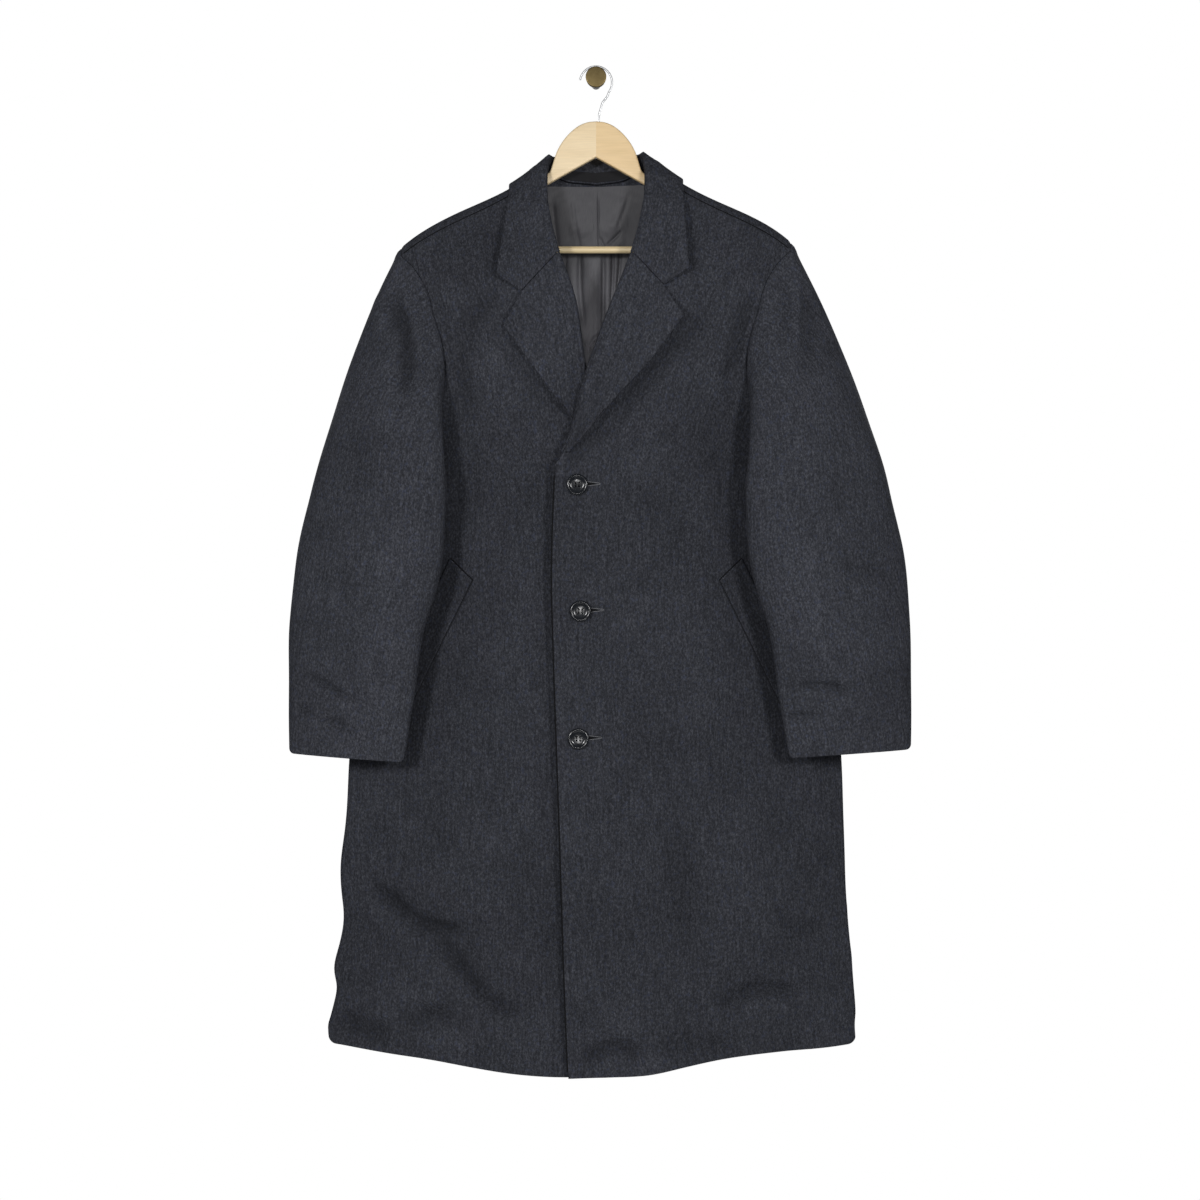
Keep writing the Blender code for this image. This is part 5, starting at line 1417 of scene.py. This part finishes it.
def make_studio():
    """White surround, soft lamps and a pale floor below the coat."""
    world = bpy.data.worlds.new("studio")
    world.use_nodes = True
    tree = world.node_tree
    white = (1.0, 1.0, 1.0, 1.0)
    dim = shader_node(tree, "ShaderNodeBackground", {"Color": white, "Strength": ROOM_LIGHT})
    sheet = shader_node(tree, "ShaderNodeBackground", {"Color": white, "Strength": 1.0})
    seen = shader_node(tree, "ShaderNodeLightPath", {}).outputs["Is Camera Ray"]
    either = shader_node(tree, "ShaderNodeMixShader", {0: seen, 1: dim.outputs[0], 2: sheet.outputs[0]})
    tree.links.new(either.outputs[0], tree.nodes["World Output"].inputs["Surface"])
    bpy.context.scene.world = world
    bpy.context.scene.view_settings.view_transform = "Standard"
    for lamp in LAMPS:
        make_lamp(lamp)
    model = bmesh.new()
    bmesh.ops.create_circle(model, cap_ends=True, segments=96, radius=FLOOR_RADIUS)
    bmesh.ops.translate(model, verts=model.verts, vec=FLOOR_PLACE)
    finish_mesh("floor", model, pale_floor())


def sleeve_loops(front, back):
    """What runs along an armhole, in the order that each sleeve piece takes it up."""
    top = np.concatenate((front[FRONT_SEAM_ROW:], back[BACK_SEAM_ROW:-1][::-1]))
    under = np.concatenate((back[1:BACK_SEAM_ROW + 1][::-1], front[:FRONT_SEAM_ROW + 1]))
    return {"top_sleeve_": top, "under_sleeve_": under}


def make_body(finishes):
    """Fronts, backs and sleeves, with their seams and creases."""
    columns = even(PANEL_COLUMNS)
    skirt = even(SKIRT_ROWS)
    chest = 1.0 + even(CHEST_ROWS)[1:]
    blade = 1.0 + even(BLADE_ROWS)[1:]
    yoke = 2.0 + even(YOKE_ROWS)[1:]
    grids = {}
    normals = {}
    eases = {}
    phis = sleeve_loops(*armhole_angles())
    for side, word in SIDE_NAMES.items():
        front = front_grid(side, np.concatenate((skirt, chest)), columns)
        back = back_grid(side, np.concatenate((skirt, blade, yoke)), columns)
        grids["front_" + word] = front
        grids["back_" + word] = back
        normals["front_" + word] = grid_normals(front, TOWARDS_VIEWER)
        normals["back_" + word] = grid_normals(back, -TOWARDS_VIEWER)
        armholes = sleeve_loops(front[SKIRT_ROWS:, -1], back[SKIRT_ROWS:, -1])
        for piece, phi in phis.items():
            sleeve = sleeve_grid(side, armholes[piece], phi)
            turn = np.radians(phi)
            outward = np.stack((side * np.cos(turn), -np.sin(turn), np.zeros_like(turn)), axis=-1)
            grids[piece + word] = sleeve
            normals[piece + word] = grid_normals(sleeve, outward[None])
            eases[piece + word] = underarm_ease(side, phi)
    share_seam_normals(grids, normals)
    insides = {}
    for key, grid in grids.items():
        relief, painted_crease_shading = body_relief(key, grid, normals[key])
        grid += normals[key] * relief[..., None]
        insides[key] = grid - normals[key] * CLOTH_WALL
        if key in eases:
            fade = smooth_step(1.0 - np.arange(len(grid)) / UNDERARM_EASE_ROWS)
            grid += eases[key][None] * fade[:, None, None]
        finish = finishes["sleeve" if "sleeve" in key else "wool"]
        wool_piece(key, grid, normals[key], CLOTH_WALL, finish, painted_crease_shading)
    sew_seams(grids, normals, finishes["thread"])
    return grids, insides


def sew_seams(grids, normals, finish):
    """Black lines of painted shade along the shoulders and under the over front's edge, and black threads
    sunk in the armholes, sleeves, sides and centre back, partly painted seam shade.
    """
    for word in SIDE_NAMES.values():
        key = "front_" + word
        # A black line of painted shade along the shoulder seam
        line = grids[key][-1, 2:-2] + normals[key][-1, 2:-2] * SHOULDER_SHADE_LINE_OUT
        sewn("shoulder_seam_shade_line_" + word, line, SHOULDER_SHADE_LINE, finish)
    # The other threads are sunk in their seams, to close the slit between two pieces; their black darkens the
    # seams as painted shade
    sunk = {key: grids[key] - normals[key] * SEAM_THREAD_AND_SHADE_IN for key in grids}
    armhole = slice(SKIRT_ROWS + 1, None)
    front_phi, back_phi = armhole_angles()
    phi = np.concatenate((front_phi[1:-1], back_phi[1:][::-1]))
    for side, word in SIDE_NAMES.items():
        front_rim = sunk["front_" + word][armhole, -1][:-1]
        back_rim = sunk["back_" + word][armhole, -1][::-1]
        ease = underarm_ease(side, phi)
        radii = SEAM_THREAD_AND_SHADE + UNDERARM_FILL * np.linalg.norm(ease, axis=1)
        sewn("armhole_seam_" + word, np.concatenate((front_rim, back_rim)) + ease / 2, radii, finish)
        for column, place in ((0, "_front_"), (-1, "_back_")):
            sewn("sleeve_seam" + place + word, sunk["top_sleeve_" + word][:-1, column], SEAM_THREAD_AND_SHADE, finish)
        sewn("side_seam_" + word, sunk["front_" + word][1:SKIRT_ROWS, -1], SEAM_THREAD_AND_SHADE, finish)
    sewn("centre_back_seam", sunk["back_left"][1:SKIRT_ROWS + BLADE_ROWS, 0], SEAM_THREAD_AND_SHADE, finish)
    # A black line of painted shadow under the over front's free edge
    rows = slice(2, SKIRT_ROWS - 2)
    edge = grids["front_left"][rows, :2]
    line = edge[:, 0] + unit(edge[:, 0] - edge[:, 1]) * EDGE_SHADE_LINE_OUT
    sewn("front_edge_shade_line", line - normals["front_left"][rows, 0] * EDGE_SHADE_LINE_IN, EDGE_SHADE_LINE, finish)


def body_relief(key, grid, normals):
    """How far each point of a piece stands out of its solid's form, and the painted shade and light that its
    creases and ridges give its colour.
    """
    away = edge_distances(grid)
    clear = {edge: smooth_step(distance / CREASE_SEAM_FADE) for edge, distance in away.items()}
    relief = cloth_waves(grid)
    if "sleeve" in key:
        seams = ("first_column", "last_column", "first_row")
        slope, start = SLEEVE_FACE
        creases = crease_relief(SLEEVE_FRONT_CREASES, grid) * smooth_step(-normals[..., 1] * slope - start)
        creases += crease_relief(SLEEVE_BACK_CREASES, grid) * smooth_step(normals[..., 1] * slope - start)
        fade = clear["first_row"]
        if key.startswith("top"):
            relief += HEAD_ROLL * np.exp(-(((away["first_row"] - HEAD_ROLL_AT) / HEAD_ROLL_SPREAD) ** 2))
    elif "front" in key:
        seams = ("last_column", "last_row")
        creases = crease_relief(FRONT_CREASES, grid)
        fade = clear["last_column"]
        if key == "front_left":
            relief += EDGE_STAND * np.exp(-((away["first_column"] / EDGE_STAND_SPREAD) ** 2))
        else:
            creases += crease_relief(UNDER_CREASES, grid)
    else:
        seams = ("last_column", "last_row", "first_column")
        creases = crease_relief(BACK_CREASES, grid)
        fade = clear["last_column"] * clear["first_column"]
    creases = creases * fade
    seam_heights = [seam_relief(away[seam]) for seam in seams]
    # Painted shade down in the creases, painted light on the ridges
    painted_crease_shading = 1.0 + creases * np.where(creases < 0.0, HOLLOW_PAINTED_SHADE, RIDGE_PAINTED_LIGHT)
    return relief + creases + np.min(seam_heights, axis=0), np.clip(painted_crease_shading, *PAINTED_CREASE_SHADING_LIMITS)


def level_from_hanger(points):
    """Level steps from the hanger's middle line to points."""
    return (points - np.array([0.0, HANGER_Y, 0.0])) * np.array([1.0, 1.0, 0.0])


def neck_seam(insides, word):
    """Inner edge of the neck on one side, from the centre back to the gorge, moved in and up."""
    nape = insides["back_" + word][SKIRT_ROWS + BLADE_ROWS:, 0]
    throat = insides["front_" + word][SKIRT_ROWS + GORGE_ROW:-1, 0][::-1]
    neck = np.concatenate((nape, throat))
    inward = unit(-level_from_hanger(neck))
    return neck + (inward + np.array([0.0, 0.0, 1.0])) * LAY_GAP


def make_collar_and_lapels(grids, insides, finishes):
    """Lapels over the fronts, and one collar round the neck."""
    tree = surface_tree([grids[key] for key in BODY_PANELS])
    halves = {}
    for side, word in SIDE_NAMES.items():
        lapel = lapel_grid(side, surface_tree([grids["front_" + word]]))
        facing = grid_normals(lapel, TOWARDS_VIEWER)
        shown = lapel + facing * COLLAR_WALL
        wool_piece("lapel_" + word, shown, facing, COLLAR_WALL, finishes["wool"])
        halves[side] = collar_half(side, tree, neck_seam(insides, word), lapel[-1])
    hidden = np.concatenate((halves[RIGHT][:0:-1], halves[LEFT]))
    outward = np.zeros_like(hidden)
    fall = WRAP_COLUMNS + COLLAR_FALL_FROM
    outward[:, fall:] = level_from_hanger(hidden[:, fall:])
    facing = grid_normals(hidden, outward)
    shown = hidden + facing * COLLAR_WALL
    wool_piece("collar", shown, facing, COLLAR_WALL, finishes["wool"])
    return shown


def make_welts(grids, finishes):
    """Slanted pocket welts on both fronts."""
    for side, word in SIDE_NAMES.items():
        tree = surface_tree([grids["front_" + word]])
        hidden = np.zeros((WELT_ROWS + 1, WELT_COLUMNS + 1, 3))
        for row, down in enumerate(even(WELT_ROWS)):
            for column, across in enumerate(even(WELT_COLUMNS)):
                x, z = WELT_TOP + (WELT_LOW - WELT_TOP) * down + WELT_ACROSS * across
                hidden[row, column] = (side * x, front_y(tree, side * x, z) - LAY_GAP, z)
        facing = grid_normals(hidden, TOWARDS_VIEWER)
        wool_piece("welt_" + word, hidden + facing * CLOTH_WALL, facing, CLOTH_WALL, finishes["wool"])
        seam = hidden[:, 0] - unit(hidden[:, 1] - hidden[:, 0]) * WELT_THREAD
        seam[:, 1] -= WELT_THREAD
        sewn("welt_seam_" + word, seam, WELT_THREAD, finishes["wool_thread"])
        # A black line of painted shade along the welt's top end
        end = hidden[0] - unit(hidden[1] - hidden[0]) * WELT_THREAD
        sewn("welt_end_shade_line_" + word, end, WELT_THREAD, finishes["thread"])


def drilled(button, cutter):
    """The button's mesh with the cutter's holes taken out."""
    cut = button.modifiers.new("Holes", "BOOLEAN")
    cut.operation = "DIFFERENCE"
    cut.solver = "EXACT"
    cut.object = cutter
    shown = button.evaluated_get(bpy.context.evaluated_depsgraph_get())
    mesh = bpy.data.meshes.new_from_object(shown)
    button.modifiers.clear()
    button.data = mesh
    bpy.data.objects.remove(cutter, do_unlink=True)


def hole_cutter(place, back, finish):
    """Four round pins where the button's holes go."""
    model = bmesh.new()
    for x in (-HOLE_OFF, HOLE_OFF):
        for z in (-HOLE_OFF, HOLE_OFF):
            pin = bmesh.ops.create_cone(
                model,
                cap_ends=True,
                segments=HOLE_SIDES,
                radius1=HOLE_RADIUS * MM,
                radius2=HOLE_RADIUS * MM,
                depth=PIN_LENGTH * MM,
                matrix=Matrix.Rotation(math.pi / 2, 4, "X"),
            )
            bmesh.ops.translate(model, verts=pin["verts"], vec=Vector((place.x + x, back, place.z + z)) * MM)
    return finish_mesh("pins", model, finish)


def rounded_tube(name, route, radius, sides, finish):
    """A tube whose two ends are rounded off."""
    route = np.asarray(route, dtype=float)
    start = unit(route[0] - route[1])
    end = unit(route[-1] - route[-2])
    radii = np.broadcast_to(np.asarray(radius, dtype=float), len(route))
    thins = np.array(END_THINS)
    first = [route[0] + start * step * radii[0] for step in END_STEPS]
    last = [route[-1] + end * step * radii[-1] for step in END_STEPS[::-1]]
    radii = np.concatenate((thins * radii[0], radii, thins[::-1] * radii[-1]))
    return tube(name, np.concatenate((first, route, last)), radii, sides, finish)


def make_buttons(grids, finishes):
    """Rimmed four-hole buttons, their thread and the buttonholes that they are fastened in."""
    tree = surface_tree([grids["front_left"]])
    around = np.linspace(0.0, 2 * math.pi, SEAT_SAMPLES, endpoint=False)
    rise = np.linspace(-1.0, 1.0, THREAD_POINTS)
    for word, place in BUTTON_PLACES.items():
        rim = zip(place.x + BUTTON_RADIUS * np.cos(around), place.z + BUTTON_RADIUS * np.sin(around))
        back = min(front_y(tree, x, z) for x, z in rim) - SEAM_GAP
        model = turned_model(BUTTON_PROFILE, BUTTON_SIDES, (place.x, back, place.z))
        button = finish_mesh("horn_button_" + word, model, finishes["button"])
        drilled(button, hole_cutter(place, back, finishes["button"]))
        dressed(button, "dark_button", "button_" + word)
        dish = back - BUTTON_PROFILE[-1][1]
        depth = dish - THREAD_RISE + THREAD_DIVE * np.abs(rise) ** THREAD_TURN
        for side, hand in SIDE_NAMES.items():
            x = np.full(THREAD_POINTS, place.x + side * HOLE_OFF)
            route = np.stack((x, depth, place.z + rise * HOLE_OFF), axis=1)
            name = "thread_" + word + "_" + hand
            dressed(rounded_tube(name, route, THREAD_RADIUS, CORD_SIDES, finishes["thread"]), "dark_button")
        make_buttonhole(word, place, tree, finishes)


def make_buttonhole(word, place, tree, finishes):
    """A worked hole: a black wedge of painted shade in the slit between two corded lips, closed by a bar at
    its end.
    """
    start = place.x + HOLE_FROM
    end = place.x + HOLE_TO
    middle = place.z + HOLE_UP
    along = np.linspace(0.0, 1.0, LIP_POINTS)
    straight = start + (end - start) * along
    apart = np.interp(along, (0.0, 1.0), LIP_APART)
    bend = np.radians(np.linspace(LIP_BEND, -LIP_BEND, LIP_BEND_POINTS))
    upper = list(zip(straight, middle + apart))
    turn = [(end + apart[-1] * math.cos(angle), middle + apart[-1] * math.sin(angle)) for angle in bend]
    lower = list(zip(straight[::-1], middle - apart[::-1]))
    lips = [(x, front_y(tree, x, z) - LIP_RISE, z) for x, z in upper + turn + lower]
    sewn("buttonhole_" + word, lips, LIP_RADIUS, finishes["gimp"], LIP_SIDES)
    # A black wedge of painted shade in the slit
    slit = [(x, front_y(tree, x, middle), middle) for x in start + (end - start) * along * SLIT_SHADE_SHARE]
    radii = np.linspace(*SLIT_SHADE_RADII, len(slit))
    sewn("slit_shade_" + word, slit, radii, finishes["thread"], CORD_SIDES)


def lining_grid(insides):
    """Hidden face of the lining, laid over the inside of the backs from the low edge up to the neck."""
    tree = surface_tree([insides["back_left"], insides["back_right"]])
    low = np.linspace(LINING_LOW_Z, LINING_FINE_Z, LINING_LOW_ROWS)
    high = np.linspace(LINING_FINE_Z, LINING_TOP_Z, LINING_FINE_ROWS)
    heights = np.concatenate((low[:-1], high))
    fine = np.linspace(-LINING_FINE_X, LINING_FINE_X, LINING_FINE_COLUMNS)
    beyond = even(LINING_SIDE_COLUMNS)[1:]
    widths, levels = np.transpose(LINING_WIDTHS)
    reach = np.interp(heights, levels, widths) - LINING_FINE_X
    share = (heights - LINING_LOW_Z) / (heights[-1] - LINING_LOW_Z)
    grid = np.zeros((len(heights), len(fine) + 2 * len(beyond), 3))
    for row, wide in enumerate(reach):
        outer = LINING_FINE_X + wide * beyond
        line = np.concatenate((-outer[::-1], fine, outer))
        lift = soft_read(line, *np.transpose(LINING_TOP), LINING_TOP_SOFT) - heights[-1]
        for column, x in enumerate(line):
            z = heights[row] + lift[column] * share[row] ** LINING_TOP_BEND
            hit = tree.ray_cast(Vector((x, LINING_FROM_Y, z)), Vector((0.0, 1.0, 0.0)))
            grid[row, column] = (x, hit[0].y, z)
    return grid


def make_lining_and_label(insides, collar_shown, finishes):
    """Satin back lining inside the backs, and a bare label on the collar stand."""
    backs = lining_grid(insides)
    facing = grid_normals(backs, TOWARDS_VIEWER)
    loose = smooth_step(edge_distances(backs)["last_row"] / LINING_TOP_FADE)
    ease = LINING_TOP_EASE + (LINING_EASE - LINING_TOP_EASE + crease_relief(LINING_CREASES, backs)) * loose
    shown = backs + facing * (np.maximum(ease, LAY_GAP) + LINING_WALL)[..., None]
    cloth_piece("satin_lining", "grey_satin", "back_lining", shown, facing, LINING_WALL, finishes["lining"])
    middle = len(collar_shown) // 2
    stand = collar_shown[middle - LABEL_ROWS:middle + LABEL_ROWS + 1, :WRAP_COLUMNS]
    heights = np.linspace(0.0, 1.0, WRAP_COLUMNS)
    label = np.zeros((len(stand), LABEL_COLUMNS, 3))
    for row, line in enumerate(stand):
        for axis in range(3):
            label[row, :, axis] = np.interp(np.linspace(*LABEL_SPAN, LABEL_COLUMNS), heights, line[:, axis])
    facing = grid_normals(label, TOWARDS_VIEWER)
    label = label + facing * (LAY_GAP + LABEL_WALL)
    cloth_piece("woven_label", "black_label", "neck_label", label, facing, LABEL_WALL, finishes["label"])


def arm_top(tree, side, x):
    """Height at which the shoulder rests on the hanger arm, whose long edges are rounded."""
    lows = []
    for across in np.linspace(-1.0, 1.0, ARM_SAMPLES) * ARM_THICK / 2:
        into_edge = max(0.0, abs(across) - ARM_THICK / 2 + ARM_ROUND)
        fall = ARM_ROUND - math.sqrt(ARM_ROUND ** 2 - into_edge ** 2)
        hit = tree.ray_cast(Vector((side * x, HANGER_Y + across, ARM_BELOW_Z)), Vector((0.0, 0.0, 1.0)))
        if hit[0]:
            lows.append(hit[0].z + fall)
    return min(lows) - LAY_GAP


def arm_outline(tree, side):
    """Outline of one hanger half: hump, seated top, foot and straight underside."""
    hump = curve_through(ARM_HUMP, np.linspace(0.0, 1.0, ARM_HUMP_POINTS))
    top = [(x, z) for x, z in hump]
    top[0] = (ARM_JOINT, top[0][1])
    for x in np.linspace(ARM_SEAT_X, ARM_END_X, ARM_STATIONS):
        top.append((x, arm_top(tree, side, x)))
    low = [(ARM_END_X, ARM_FOOT_Z), (ARM_FOOT_X, ARM_FOOT_Z)]
    low.append((ARM_FOOT_X, ARM_APEX_Z - ARM_SLOPE * ARM_FOOT_X))
    low.append((ARM_JOINT, ARM_APEX_Z))
    return [(side * x, z) for x, z in top + low]


def make_arms(insides, finishes):
    """Two shaped arms that meet below the hook."""
    tree = surface_tree([insides[key] for key in BODY_PANELS])
    for side, word in SIDE_NAMES.items():
        model = bmesh.new()
        near = (HANGER_Y - ARM_THICK / 2) * MM
        outline = [model.verts.new((x * MM, near, z * MM)) for x, z in arm_outline(tree, side)]
        model.faces.new(outline)
        extrude_all(model, (0.0, ARM_THICK * MM, 0.0))
        joint = SEAM_GAP * MM
        rims = [edge for edge in model.edges if abs(edge.verts[0].co.y - edge.verts[1].co.y) < joint]
        rims = [edge for edge in rims if max(abs(corner.co.x) for corner in edge.verts) > joint]
        bmesh.ops.bevel(
            model,
            geom=rims,
            offset=ARM_ROUND * MM,
            offset_type="OFFSET",
            affect="EDGES",
            segments=4,
            profile=0.5,
            material=-1,
            clamp_overlap=True,
        )
        item = finish_mesh("birch_arm_" + word, model, finishes["arm_" + word], ARM_CRISP)
        dressed(item, "pale_birch", "hanger_arm_" + word)


def make_bar(finishes):
    """Round bar between the arms' feet."""
    end = ARM_FOOT_X - SEAM_GAP
    places = np.concatenate(([-end - CLOSE_STEP], np.linspace(-end, end, BAR_POINTS), [end + CLOSE_STEP]))
    route = np.stack((places, np.full(len(places), HANGER_Y), np.full(len(places), BAR_Z)), axis=1)
    radii = np.full(len(places), BAR_RADIUS)
    radii[[0, -1]] = 0.0
    dressed(tube("birch_round_bar", route, radii, BAR_SIDES, finishes["bar"]), "birch_bar", "hanger_bar")


def make_hook(finishes):
    """Wire hook over the peg, with its stem down to the arms."""
    angles = np.radians(np.linspace(HOOK_TIP_ANGLE, HOOK_LEAVE_ANGLE, HOOK_POINTS))
    arc = np.stack((HOOK_RADIUS * np.cos(angles), HOOK_CENTRE_Z + HOOK_RADIUS * np.sin(angles)), axis=1)
    bends = np.concatenate((arc[-1:], np.array(HOOK_STEM)))
    tail = curve_through(bends, np.linspace(0.0, 1.0, HOOK_STEM_POINTS))
    flat = np.concatenate((arc, tail[1:]))
    route = np.stack((flat[:, 0], np.full(len(flat), HANGER_Y), flat[:, 1]), axis=1)
    start = unit(route[0] - route[1])
    tip = [route[0] + start * step for step, _ in HOOK_TIP]
    thins = [radius for _, radius in HOOK_TIP]
    end = route[-1] + unit(route[-1] - route[-2]) * CLOSE_STEP
    radii = np.concatenate((thins, np.full(len(route), WIRE_RADIUS), [0.0]))
    route = np.concatenate((tip, route, [end]))
    dressed(tube("wire_hook", route, radii, HOOK_SIDES, finishes["chrome"]), "chromed_wire", "hanger_hook")


def make_peg(finishes):
    """Turned stem with a flat disc on its end."""
    stem = turned_model(STEM_PROFILE, PEG_SIDES, (0.0, 0.0, 0.0))
    dressed(finish_mesh("brass_stem", stem, finishes["chrome"], PEG_CRISP), "chromed_wire", "peg_stem")
    cap = turned_model(CAP_PROFILE, PEG_SIDES, (0.0, CAP_Y, 0.0))
    dressed(finish_mesh("brass_disc", cap, finishes["brass"], PEG_CRISP), "aged_brass", "peg_cap")


def make_finishes():
    """All finishes by name."""
    return {
        "wool": charcoal_wool("wool_charcoal", 1.0),
        # The sleeves take the same wool painted lighter, standing in for the light they catch
        "sleeve": charcoal_wool("wool_charcoal_sleeves_painted_lighter", 1.16),
        "lining": grey_satin(),
        "label": black_tape(),
        "button": dark_horn(),
        # Black thread for the buttons, also used for the black lines of painted shade in the seams, welt ends
        # and buttonhole slits
        "thread": sewing_thread("thread_black_and_shade_lines", (0.008, 0.008, 0.009)),
        "wool_thread": sewing_thread("thread_charcoal", (0.021, 0.022, 0.026)),
        "gimp": sewing_thread("thread_grey", (0.150, 0.153, 0.162)),
        # One birch in two shades: the left arm is painted darker as painted shade and the right arm paler as
        # painted light
        "arm_left": pale_birch("birch_arm_left", (0.66, 0.49, 0.275), (0.60, 0.43, 0.225), -0.51),
        "arm_right": pale_birch("birch_arm_right", (0.70, 0.565, 0.365), (0.65, 0.51, 0.315), 0.51),
        "bar": pale_birch("birch_round_bar", (0.58, 0.47, 0.28), (0.48, 0.37, 0.20), 0.0),
        "chrome": bright_chrome(),
        "brass": aged_brass(),
    }


def main():
    """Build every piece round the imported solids."""
    make_camera()
    make_studio()
    finishes = make_finishes()
    grids, insides = make_body(finishes)
    collar_shown = make_collar_and_lapels(grids, insides, finishes)
    make_welts(grids, finishes)
    make_buttons(grids, finishes)
    make_lining_and_label(insides, collar_shown, finishes)
    make_arms(insides, finishes)
    make_bar(finishes)
    make_hook(finishes)
    make_peg(finishes)


main()
bpy.context.view_layer.update()
